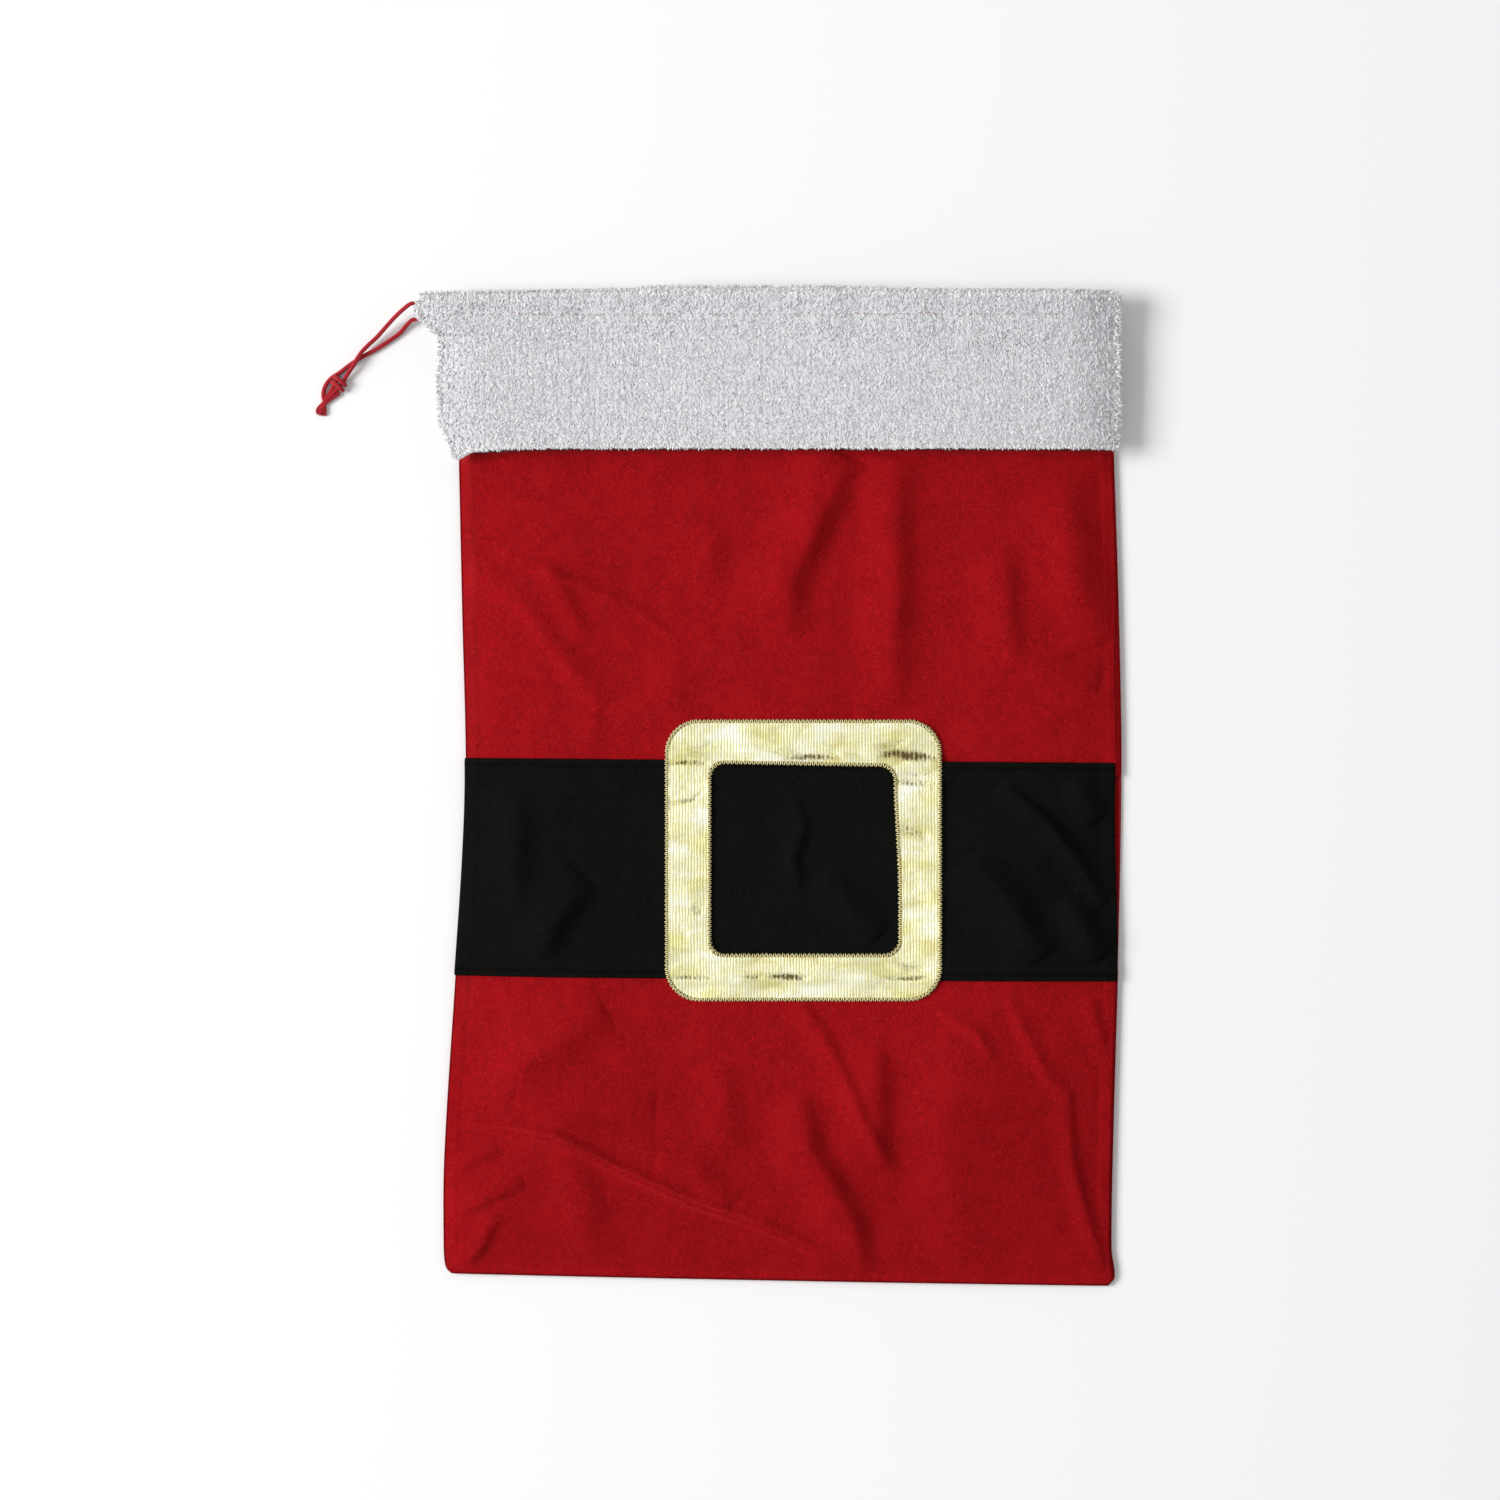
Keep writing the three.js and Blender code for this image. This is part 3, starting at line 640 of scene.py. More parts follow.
def lame(name):
    """Gold knitted cloth with upright ribs, olive in its hollows and near white where it shines: painted
    glints, painted reflections in broad olive to near white patches, and painted brown shade in its puckers
    and under its stitches.
    """
    finish = Finish(name, "gold_lame", Metallic=0.42, Specular_IOR_Level=0.5)
    rib_pitch = 2.1
    across = finish.node("ShaderNodeSeparateXYZ", {0: finish.rest}).outputs[0]
    wander = finish.noise((3.0, 12, 5), detail=3)
    wandered = finish.node("ShaderNodeMath", {0: wander, 1: 6.0}, operation="MULTIPLY").outputs[0]
    phase = finish.sum(wandered, across, 2 * np.pi / rib_pitch)
    ribs = finish.node("ShaderNodeMath", {0: phase}, operation="SINE").outputs[0]
    # Fine noise for painted glints, near white at its peaks with darker specks at its troughs; it also sets
    # roughness and bump.
    glints = finish.noise((1.1, 1.6, 2), detail=3, roughness=0.7)
    # Broad noise for painted reflections, in patches from olive to near white.
    patches = finish.noise((30, 14, 20), detail=3, roughness=0.55)
    uprights = finish.noise((4, 30, 20), detail=2)
    tone = finish.attribute("tone", "Fac")
    dotted = finish.sum(tone, glints, 0.6)
    hollow, crest = (0.78, 0.72, 0.30), (1.0, 0.99, 0.70)
    speckle, glint = (0.62, 0.56, 0.20), (1.0, 1.0, 0.88)
    olive, pale, upright = (0.70, 0.64, 0.22), (1.0, 1.0, 0.80), (0.80, 0.76, 0.36)
    # Painted brown shade for the puckers and under the stitches, and a painted shine on the flat cloth.
    painted_shade_brown, shine = (0.13, 0.085, 0.02), (1.0, 1.0, 0.94)
    finish.paint(ribs, -0.9, 0.6, hollow, crest, [
        (glints, 0.5, 0.3, 0.7, speckle),
        (glints, 0.54, 0.72, 1.0, glint),
        (patches, 0.5, 0.34, 0.75, olive),
        (patches, 0.52, 0.68, 0.85, pale),
        (uprights, 0.55, 0.72, 0.35, upright),
        (dotted, 0.74, 0.36, 1.0, painted_shade_brown),
        (tone, 0.5, 1.0, 1.0, shine),
    ])
    finish.rough(finish.band(glints, 0.3, 0.7, 0.52, 0.36))
    finish.bump(finish.sum(glints, ribs, 0.45), 0.16)
    return finish


def thread(name, slot, colour, shadow, metallic=0.0):
    """Sewing thread with a fine twist."""
    finish = Finish(name, slot, Roughness=0.6, Specular_IOR_Level=0.1, Metallic=metallic)
    twist = finish.noise((0.5, 0.5, 0.5), detail=2, distortion=1.0)
    patches = finish.noise((7, 7, 7), detail=2)
    finish.paint(twist, 0.35, 0.65, shadow, colour, [(patches, 0.4, 0.75, 0.5, tint(shadow, 1.2))])
    finish.bump(twist, 0.12)
    return finish


def cord_finish(name):
    """Red braided yarn: the braid is in the mesh; the fibres, and painted shade in the grooves between its
    strands, are here.
    """
    finish = Finish(name, "red_cord", Roughness=0.8, Specular_IOR_Level=0.15, Sheen_Weight=0.15)
    fibres = finish.noise((0.35, 0.35, 0.35), detail=3, roughness=0.7)
    tone = finish.attribute("tone", "Fac")
    # between is painted shade, laid in the braid's grooves where the tone is low.
    dark, light, between = (0.30, 0.008, 0.014), (0.55, 0.022, 0.036), (0.13, 0.004, 0.007)
    finish.paint(fibres, 0.3, 0.7, dark, light, [(tone, 0.5, 0.0, 0.8, between)])
    finish.bump(fibres, 0.15)
    return finish


RED = (0.302, 0.0054, 0.0080)
BLACK = (0.0055, 0.0060, 0.0048)
WHITE = (0.708, 0.709, 0.734)
red_felt = felt("red_felt", "red_felt", RED, tint(RED, 0.4), (0.34, 0.020, 0.022), 0.03)
black_felt = felt("black_felt", "black_felt", BLACK, (0.002, 0.002, 0.002), (0.0095, 0.0105, 0.0085), 0.02)
white_plush = plush("white_plush", WHITE)
gold_lame = lame("gold_lame")
gold_thread = thread("gold_thread", "gold_thread", (1.0, 0.97, 0.62), (0.78, 0.70, 0.28), 0.15)
red_thread = thread("red_thread", "red_thread", (0.42, 0.06, 0.09), (0.22, 0.02, 0.03))
pale_thread = thread("pale_red_thread", "red_thread", (0.60, 0.25, 0.28), (0.42, 0.14, 0.17))
dark_thread = thread("dark_red_thread", "red_thread", (0.012, 0.003, 0.004), (0.004, 0.002, 0.002))
red_cord = cord_finish("red_cord")


# ---- Drawstring ----
# Routes of the two ends of the cord outside the sack and of the strands in their knot.
FRONT_TAIL = [
    (-247.8, 338.7, 15.6), (-251, 338, 15.2), (-256, 334.6, 13.2), (-261.5, 330.2, 10), (-267.4, 324.5, 6.9),
    (-275.5, 315.9, 4.7), (-281, 310.9, 4.4), (-286, 305.6, 4.8), (-289.6, 300.1, 5.0), (-292, 296, 4.6),
    (-295, 291.6, 3.6), (-298.2, 286.9, 2.9),
]
BACK_TAIL = [
    (-247.8, 328.5, 5.4), (-250.6, 328, 4.9), (-254.6, 324.6, 3), (-259.2, 319.6, 1.7), (-266.8, 314, 1.6),
    (-276.6, 307.7, 1.6), (-284.2, 303.6, 1.6), (-289.6, 300.3, 1.6), (-295, 296.6, 1.6),
    (-301.6, 291.6, 1.6), (-308, 287.2, 1.6), (-311.9, 281.9, 1.6), (-313.2, 277, 1.6), (-312.9, 272.6, 1.6),
]
KNOT_STRANDS = [
    [(-297.4, 288, 2.9), (-299, 284.9, 2.8), (-304.4, 278.8, 2.5), (-309.4, 273.9, 2.1),
     (-313.2, 270.2, 1.7)],
    [(-302.6, 289, 1.7), (-304.6, 285.2, 2.3), (-307, 279.6, 2.1), (-310.2, 275.2, 1.8),
     (-313.4, 271.2, 1.6)],
    [(-306.4, 288.4, 1.5), (-304.6, 288, 3.8), (-301.6, 286, 5.2), (-298.6, 283.6, 4.6),
     (-297.6, 282.4, 1.9)],
    [(-307.4, 285, 1.6), (-306, 284.4, 3.6), (-303.2, 282.4, 5), (-300.2, 279.8, 4), (-299.4, 278.8, 1.6)],
    [(-301.8, 277.6, 1.5), (-304.8, 275.4, 1.6), (-308.4, 273, 1.5), (-312.4, 269.8, 1.4)],
]
NECK = (-313.2, 270.4, 1.7)  # where the cut ends leave the knot
FRAY_END = (-315.0, 261.2, 0.8)  # middle of the fibres' far ends


def braid(path, radius):
    """Radii and tones round a braided cord of that radius: two sets of strands cross over each other. The
    tone is low in the grooves between the strands, where the cord's material paints shade.
    """
    sides = 20
    turn = 2 * np.pi * np.arange(sides) / sides
    along = along_path(path)[:, None]
    pitch = 5.2
    one = np.cos(3 * (turn + 2 * np.pi * along / (pitch * 3)))
    other = np.cos(3 * (turn - 2 * np.pi * along / (pitch * 3)))
    relief = np.maximum(np.abs(one), np.abs(other)) ** 0.6
    radii = radius * (0.80 + 0.22 * relief)
    return radii, np.clip(0.5 * (relief - 0.62) / 0.36, 0, 0.5)


def cord_piece(name, routes, step=0.35, reference=(0.0, 0.0, 1.0)):
    """Braided cords along the routes, as one piece, and the first one's path."""
    points, faces, tones, used, paths = [], [], [], 0, []
    for route in routes:
        path = resample(route, step)
        radii, tone = braid(path, CORD / 2)
        radii[[0, -1]] *= 0.55
        radii[[1, -2]] *= 0.85
        made, parts = strands(path[None], radii[None], radii.shape[1], reference)
        points.append(made)
        faces.extend(part + used for part in parts)
        tones.append(tone.ravel())
        used += len(made)
        paths.append(path)
    return build(name, np.vstack(points), faces, red_cord, np.concatenate(tones)), paths[0]


def casing_route():
    """Along the front casing, round the turn beside the right seam, and back along the other casing."""
    turn_x = float(cuff_right(FRONT_STITCH)) - HEM_SHORT
    front_y, back_y = FRONT_TAIL[0][1], BACK_TAIL[0][1]
    front_z, back_z = 22.5, 5.55
    drop = 6.4  # the front casing comes down this much to its left end
    exit_x, last_x = EXIT_X - 0.4, turn_x - 6
    front = [
        (x, front_y, front_z - drop * float(ease((-215 - x) / 30)))
        for x in (exit_x, -240, -230, -218, -200, -120, 0, 110, 190, last_x)
    ]
    half, middle = (front_z - back_z) / 2, (front_z + back_z) / 2
    turn = [
        (turn_x + half * np.sin(t), front_y - (front_y - back_y) * t / np.pi, middle + half * np.cos(t))
        for t in np.linspace(0, np.pi, 7)
    ]
    back = [(x, back_y, back_z) for x in (last_x, 190, 110, 0, -120, -240, exit_x)]
    return front + turn + back


def add_frayed_end():
    """Fibres of the cord that spread below the knot, kept inside a small box round them."""
    rng = np.random.default_rng(7)
    count, rings = 110, 8
    share = np.linspace(0, 1, rings)[None, :, None]
    spread = rng.uniform(-1, 1, (count, 1, 3)) * (4.0, 1.0, 1.2)
    start = np.array(NECK) + rng.uniform(-1, 1, (count, 1, 3)) * (0.9, 0.6, 0.9)
    end = np.array(FRAY_END) + spread
    end[..., 1] += 0.13 * spread[..., 0] ** 2 * (spread[..., 0] < 0) + 0.8
    bow = np.cross(end - start, (0, 0, 1)) * rng.normal(0, 0.07, (count, 1, 1))
    paths = start + (end - start) * share + bow * np.sin(np.pi * share)
    paths[..., 0] = np.clip(paths[..., 0], -318.6, -309.8)
    paths[..., 1] = np.maximum(paths[..., 1], 260.4)
    paths[..., 2] = np.clip(paths[..., 2], 0.3, 3.6)
    points, faces = strands(paths, np.linspace(0.34, 0.16, rings), 5)
    return build("drawstring_frayed_end_fibres", points, faces, red_cord)


def add_drawstring():
    loop, _ = cord_piece("drawstring_casing_cord", [casing_route()], step=1.2, reference=(0.0, 1.0, 0.0))
    front, front_path = cord_piece("drawstring_front_cord", [FRONT_TAIL])
    back, back_path = cord_piece("drawstring_back_cord", [BACK_TAIL])
    knot, _ = cord_piece("drawstring_knot_strands", KNOT_STRANDS)
    fray = add_frayed_end()
    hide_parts("drawstring_casing_loop")
    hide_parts("drawstring_front_tail")
    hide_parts("drawstring_back_tail")
    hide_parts("drawstring_knot")
    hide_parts("drawstring_frayed_end")
    tails = ((front, front_path, FRONT_TAIL, []), (back, back_path, BACK_TAIL, [knot, fray]))
    for piece, path, route, extra in tails:
        length = np.linalg.norm(np.diff(path, axis=0), axis=1).sum() * MM
        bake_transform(piece)
    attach(loop, "drawstring")
    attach(knot, "drawstring_tails")
    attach(fray, "drawstring_tails")


add_drawstring()


def gather_cuff(piece):
    """Bakes a piece's placement into its mesh."""
    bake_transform(piece)


def gather_body(piece):
    """Bakes a piece's placement into its mesh."""
    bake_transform(piece)


# ---- Red panels and belt ----
def crease_tone(x, y):
    """Painted light and shade on the red front: painted highlights on the two crests of a pressed double
    crease across the lower panel, painted shade between them, and painted light along the lifted edge of
    the upper panel by the cuff, where the cuff's shadow falls."""
    first, second = (fold[0] for fold in FOLDS if fold[0][0] in CREASE_STARTS)
    between = (np.array(first)[1:] + np.array(second)) / 2
    # Painted highlights on both crests, and painted shade along the groove between them.
    painted_crest_light = near(x, y, first, 1.5) + near(x, y, second, 1.5)
    # Painted light along the upper panel's edge under the cuff, against the cuff's shadow there.
    return 0.36 * painted_crest_light - 0.2 * near(x, y, between, 1.3) + 0.3 * np.exp(-np.maximum(seam(x) - y, 0) / 2.0)


def red_tone(x, y):
    """Painted light in a strip over the seam allowance, painted shade on the very edge and along the right
    seam, and painted shade a little darker low down."""
    left = x - body_left(y)
    right = body_right(y) - x
    foot = y - bottom(x)
    wander = 1.5 * noise(x, y, 14, 11)
    # Painted light in a strip over the seam allowance beside the left side and the bottom seam.
    strip = ease((left - 1.5) / 1) * (1 - ease((left - 10 - wander) / 3))
    strip = np.maximum(strip, 0.8 * ease((foot - 2) / 1) * (1 - ease((foot - 6 - wander) / 2)))
    rolled = 0.8 + 2.4 * ease((y + 60) / 100) * ease((150 - y) / 60)
    # Painted shade on the rounded edges, on the right seam's rolled strip and in a line beside it.
    edge = np.maximum(1 - ease((left - 0.6) / 1.2), 0.45 * (1 - ease((right - rolled) / 0.8)))
    edge = np.maximum(edge, 0.9 * np.exp(-(((right - rolled - 0.5) / 0.8) ** 2)))
    edge = np.maximum(edge, 0.6 * (1 - ease((foot - 0.6) / 1)))
    # Painted shade, a little darker towards the bottom.
    lower = 0.12 * ease((-y - 100) / 180)
    return np.clip(0.5 + 0.1 * strip - 0.5 * edge - lower + crease_tone(x, y), 0, 1)


def add_panel(name, node, edges, height, finish, tone, step=1.65):
    """A body panel of felt between its low, high, left and right edges, its underside at height(x, y)."""
    x, y = panel_grid(step, *edges)
    under = height(x, y)
    points, faces = slab(np.stack([x, y, under + FELT], -1), np.stack([x, y, under], -1))
    tones = np.full(len(points), 0.5)
    tones[: x.size] = tone(x, y).ravel()
    tones[2 * x.size:] = tone(points[2 * x.size:, 0], points[2 * x.size:, 1])
    piece = build(name, points, faces, finish, tones)
    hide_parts(node)
    gather_body(piece)


def back_height(x, y):
    """The back lies on the floor and curls up a little at its seams."""
    return 0.12 * (1 - ease(from_seams(x, y) / 6))


def belt_tone(x, y):
    """Painted shade in the groove where the topstitching pulls the belt down, and on its very edge."""
    lap = np.minimum(belt_high(x) - y, y - belt_low(x))
    # Painted shade along the topstitching's groove and on the belt's very edge.
    groove_shade = np.exp(-(((lap - TOPSTITCH_IN) / 1.1) ** 2))
    return np.clip(0.5 - 0.4 * groove_shade - 0.45 * (1 - ease(lap / 1.0)), 0, 1)


def plain_tone(x, y):
    return np.full(np.shape(x), 0.5)


def shifted(curve, by):
    return lambda at: curve(at) + by


LAP = 9  # the red panels run this far under the belt
add_panel("back_panel_felt", "back_panel", (bottom, shifted(seam, -0.3)), back_height, red_felt, plain_tone,
          step=3)
add_panel("front_upper_felt", "front_upper_panel", (shifted(belt_high, -LAP), shifted(seam, 0.5)), front_low,
          red_felt, red_tone)
add_panel("front_lower_felt", "front_lower_panel", (bottom, shifted(belt_low, LAP)), front_low,
          red_felt, red_tone)
add_panel("front_belt_felt", "front_belt_panel", (belt_low, belt_high, belt_left, belt_right), belt_low_z,
          black_felt, belt_tone)


# ---- Buckle ----
def rounded(low, high, radius, grow):
    """Points round a rounded rectangle grown outwards by grow, and the way out at each of them."""
    straight, arc = 110, 22
    centres = [(high[0] - radius, high[1] - radius), (low[0] + radius, high[1] - radius),
               (low[0] + radius, low[1] + radius), (high[0] - radius, low[1] + radius)]
    points, out = [], []
    for k, centre in enumerate(centres):
        turn = np.pi / 2 * (k + np.arange(arc) / arc)
        away = np.stack([np.cos(turn), np.sin(turn)], 1)
        points.append(np.array(centre) + away * (radius + grow))
        out.append(away)
        last = np.array([np.cos(np.pi / 2 * (k + 1)), np.sin(np.pi / 2 * (k + 1))]).round(9)
        here = np.array(centre) + last * (radius + grow)
        there = np.array(centres[(k + 1) % 4]) + last * (radius + grow)
        share = np.arange(straight)[:, None] / straight
        points.append(here + (there - here) * share)
        out.append(np.broadcast_to(last, (straight, 2)))
    return np.vstack(points), np.vstack(out)


def lean(points):
    """The window's right side leans and its top edge slants a little."""
    x, y = points[..., 0], points[..., 1]
    inside = ease((x + 72) / 40) * ease((121 - x) / 30) * ease((y + 150) / 30) * ease((48 - y) / 30)
    right, top = ease((x - 20) / 60), ease((y + 60) / 60)
    moved_x = x - inside * right * (3.2 * ease((y + 75) / 85) - 1.3)
    moved_y = y - inside * top * 1.1 * (x - 25) / 65
    return np.stack([moved_x, moved_y], -1)


def buckle_tone(x, y, from_edge):
    """Painted brown shade in the puckers, which the ribs break up, and under the stitches along both edges.
    from_edge is the distance to the nearer edge."""
    # Painted brown shade, deeper in deeper puckers.
    depth = sum(-height * near(x, y, points, width * 1.45) for points, width, height in PUCKERS)
    broken = 0.75 + 0.25 * np.sin(2 * np.pi * x / 3.1) + 0.25 * noise(x, y, 2.2, 13)
    # Painted shade under the stitches along both edges.
    shade_under_stitches = 1 - ease((from_edge - 1.3) / 0.7)
    return np.clip(0.56 - 0.5 * depth * broken - 0.5 * shade_under_stitches, 0, 1)


def add_buckle():
    outer, _ = rounded(BUCKLE_LOW, BUCKLE_HIGH, BUCKLE_RADIUS, -LAME / 2)
    inner, _ = rounded(WINDOW_LOW, WINDOW_HIGH, WINDOW_RADIUS, LAME / 2)
    share = np.linspace(0, 1, 44)
    flat = lean(inner + (outer - inner) * share[:, None, None])
    x, y = flat[..., 0], flat[..., 1]
    under = buckle_low_z(x, y)
    points, faces = slab(np.stack([x, y, under + LAME], -1), np.stack([x, y, under], -1), ring=True)
    from_edge = np.zeros(len(points))
    from_edge[: x.size] = np.repeat(BUCKLE_WIDTH * np.minimum(share, 1 - share), x.shape[1])
    tone = buckle_tone(points[:, 0], points[:, 1], from_edge)
    piece = build("buckle_gold_cloth", points, faces, gold_lame, tone)
    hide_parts("buckle_frame")
    gather_body(piece)


def add_zigzag(name, node, low, high, radius, outward):
    """Satin stitches over one edge of the buckle, each from the cloth beside it to the gold cloth."""
    middle, away = rounded(low, high, radius, 0)
    loop = np.vstack([middle, middle[:1]])
    along = along_path(loop)
    ways = np.vstack([away, away[:1]])
    pitch = 1.5
    count = 2 * round(along[-1] / pitch / 2)
    at = np.arange(count) * along[-1] / count
    rng = np.random.default_rng(count)
    share = np.array([-1.0, -0.75, -0.25, 0.25, 0.75, 1.0])
    slant = np.where(np.arange(count) % 2, 1, -1)[:, None] * 0.4 * share
    place = (at[:, None] + slant + rng.normal(0, 0.07, (count, 1))) % along[-1]
    edge = at_places(place, along, loop)
    way = unit(at_places(place, along, ways))
    reach = share * (ZIGZAG * 0.46 + rng.normal(0, 0.1, (count, 1))) - outward * ZIGZAG * 0.31
    flat = lean(edge) + way * reach[..., None]
    on_gold = reach * outward < 0
    x, y = flat[..., 0], flat[..., 1]
    over = np.where(on_gold, buckle_low_z(x, y) + LAME, beside_z(x, y))
    height = over + np.array([-0.05, 0.2, 0.32, 0.32, 0.2, -0.05])
    radii = [0.14, 0.29, 0.33, 0.33, 0.29, 0.14]
    points, faces = strands(np.concatenate([flat, height[..., None]], -1), radii, 6)
    piece = build(name, points, faces, gold_thread)
    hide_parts(node)
    gather_body(piece)


def beside_z(x, y):
    """Top of the cloth beside the buckle, raised a little where the buckle's edge stands next to it."""
    over = (y < belt_high(x)) & (y > belt_low(x))
    return np.where(over, belt_low_z(x, y), front_low(x, y)) + FELT + 0.25


add_buckle()
add_zigzag("buckle_outer_zigzag", "buckle_outer_stitch", BUCKLE_LOW, BUCKLE_HIGH, BUCKLE_RADIUS, 1)
add_zigzag("buckle_inner_zigzag", "buckle_inner_stitch", WINDOW_LOW, WINDOW_HIGH, WINDOW_RADIUS, -1)


# ---- Stitches ----
def add_stitches(name, node, path, stitch, finish, gather):
    """A row of separate stitches along path, each arched, with its two ends sunk in the cloth."""
    length, gap = stitch
    sink = 0.35
    path = np.asarray(path, float)
    along = along_path(path)
    starts = np.arange(0, along[-1] - length, length + gap)
    share = np.array([0.0, 0.12, 0.4, 0.6, 0.88, 1.0])
    place = starts[:, None] + length * share
    paths = at_places(place, along, path)
    paths[..., 2] -= sink * np.array([1.0, 0.35, 0, 0, 0.35, 1.0])
    points, faces = strands(paths, THREAD / 2 * np.array([0.5, 0.9, 1, 1, 0.9, 0.5]), 6)
    piece = build(name, points, faces, finish)
    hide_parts(node)
    gather(piece)


def over_belt(curve, inward):
    x = np.linspace(float(body_left(0)) + 3, float(body_right(0)) - 3, 240)
    y = curve(x) + inward
    return np.stack([x, y, belt_low_z(x, y) + FELT + 0.12], -1)


def along_side(edge, inward, low, high, z):
    y = np.linspace(low, high, 120)
    return np.stack([edge(y) + inward, y, np.full(np.shape(y), z)], -1)


def add_belt_stitches():
    for row, edge, inward in (("upper", belt_high, -TOPSTITCH_IN), ("lower", belt_low, TOPSTITCH_IN)):
        path = over_belt(edge, inward)
        name = f"belt_{row}"
        add_stitches(f"{name}_stitches", f"{name}_topstitch", path, BELT_STITCH, dark_thread, gather_body)


def add_side_stitches():
    body_z, cuff_z = 1.75, 3.4
    for name, path, gather in (
        ("left_side", along_side(body_left, 1.0, -334, 232, body_z), gather_body),
        ("right_side", along_side(body_right, -1.0, -340, 232, body_z), gather_body),
        ("left_cuff", along_side(cuff_left, 1.2, 241, 310, cuff_z), gather_cuff),
        ("right_cuff", along_side(cuff_right, -1.2, 241, 298, cuff_z), gather_cuff),
    ):
        add_stitches(f"{name}_stitches", f"{name}_seam_thread", path, SEAM_STITCH, red_thread, gather)


def add_cross_stitches():
    """The bottom seam, and the seams between the panels and the cuffs."""
    x = np.linspace(-218, 236, 200)
    bottom_row = np.stack([x, bottom(x) + 1.0, x * 0 + 1.75], -1)
    x = np.linspace(-212, 236, 200)
    y = x * 0 + CUFF_SEAM + 0.5
    front_row = np.stack([x, y, front_low(x, x * 0 + CUFF_SEAM) + 0.9], -1)
    back_row = np.stack([x, y, x * 0 + 0.7], -1)
    for name, path, stitch in (
        ("bottom", bottom_row, SEAM_STITCH),
        ("front_cuff_seam", front_row, CUFF_STITCH),
        ("back_cuff_seam", back_row, CUFF_STITCH),
    ):
        node = f"{name.removesuffix('_seam')}_seam_thread"
        add_stitches(f"{name}_stitches", node, path, stitch, red_thread, gather_body)


add_belt_stitches()
add_side_stitches()
add_cross_stitches()


# ---- Cuffs ----
def mouth_dip(x):
    """How far the mouth's edge stands below its highest point."""
    return 4.5 * (1 - ease((x + 246) / 190)) + 2.2 * ease((x - 20) / 220)


def cuff_rows():
    """Y of each row of a cuff, and its turn round the fold: 0 on the outer layer and 1 on the hem."""
    outer = [(y, 0.0) for y in np.linspace(CUFF_SEAM + 1.6, TURN, OUTER_ROWS)]
    fold = [(TURN, t) for t in np.linspace(0, 1, FOLD_ROWS)[1:-1]]
    hem = [(y, 1.0) for y in np.linspace(TURN, HEM_END, HEM_ROWS)]
    return np.array(outer + fold + hem).T


def cuff_grids(outer_z, hem_z, way):
    """The two faces of a cuff's backing, the outside first. outer_z and hem_z give the height of the face
    towards the casing, and way is 1 on the front and -1 on the back."""
    ys, turn = cuff_rows()
    inset = BACKING / 2
    u = grid_lines(470, 2.6)[:, None]
    y = np.broadcast_to(ys[None], (len(u), len(ys)))
    turned = np.broadcast_to(turn[None], y.shape)
    for _ in range(2):
        left = cuff_left(y) + inset
        right = cuff_right(y) - inset - HEM_SHORT * ease(turned)
        x = left + (right - left) * u
        low_end = (seam(x) - CUFF_SEAM) * ease((TURN - ys[None]) / 100)
        y = ys[None] + low_end - mouth_dip(x) * ease((ys[None] - 290) / 40)
    outer, hem = outer_z(x, y), hem_z(x, y)
    middle, half = (outer + hem) / 2, np.abs(outer - hem) / 2
    faces = []
    for away in (CASING_ROOM + BACKING, CASING_ROOM):
        out = np.sin(np.pi * turned) * (FOLD - 2.6 - PILE + away)
        z = middle + way * (half + away) * np.cos(np.pi * turned)
        faces.append(np.stack([x, y + out, z], -1))
    return faces


def front_hem_z(x, y):
    share = cuff_side(x, y)
    return HEM_FRONT[1] + (HEM_FRONT[0] - HEM_FRONT[1]) * share


def back_hem_face_z(x, y):
    return back_hem_z(y)


def back_outer_z(x, y):
    return np.full(np.shape(x), CASING_ROOM + BACKING + 1.0)


def tuft_paths(root, normal, lengths, lean_low, lean_high, bias, rng):
    """Curled paths of the pile's tufts from their roots. bias is the way that they lean on the whole."""
    count = len(root)
    across = unit(np.cross(normal, (0.31, 0.52, 0.8)))
    along = np.cross(normal, across)
    azimuth = rng.uniform(0, 2 * np.pi, (count, 1))
    curl = rng.normal(0, 1.5, (count, 1))
    lean_angle = np.radians(rng.uniform(lean_low, lean_high, (count, 1)))
    points = [root - normal * 0.2]
    for step, droop in ((0.45, 0.0), (0.3, 0.25), (0.25, 0.5)):
        flat = unit(across * np.cos(azimuth) + along * np.sin(azimuth) + bias)
        tilt = np.minimum(lean_angle + droop, np.radians(94))
        points.append(points[-1] + (flat * np.sin(tilt) + normal * np.cos(tilt)) * lengths[:, None] * step)
        azimuth = azimuth + curl * 0.5
    return np.stack(points, 1)


def on_grid(grid, rows, columns, rng, count):
    """Random points on the part of a grid in those rows and columns, with the way out there."""
    part = grid[rows[0]:rows[1], columns[0]:columns[1]]
    a, b, c = part[:-1, :-1], part[1:, :-1], part[:-1, 1:]
    area = np.linalg.norm(np.cross(b - a, c - a), axis=-1).ravel()
    cell = rng.choice(len(area), count, p=area / area.sum())
    i, j = np.unravel_index(cell, (part.shape[0] - 1, part.shape[1] - 1))
    s, t = rng.uniform(0, 1, (2, count, 1))
    root = (part[i, j] * (1 - s) + part[i + 1, j] * s) * (1 - t)
    root = root + (part[i, j + 1] * (1 - s) + part[i + 1, j + 1] * s) * t
    return root, unit(np.cross(part[i + 1, j] - part[i, j], part[i, j + 1] - part[i, j]))


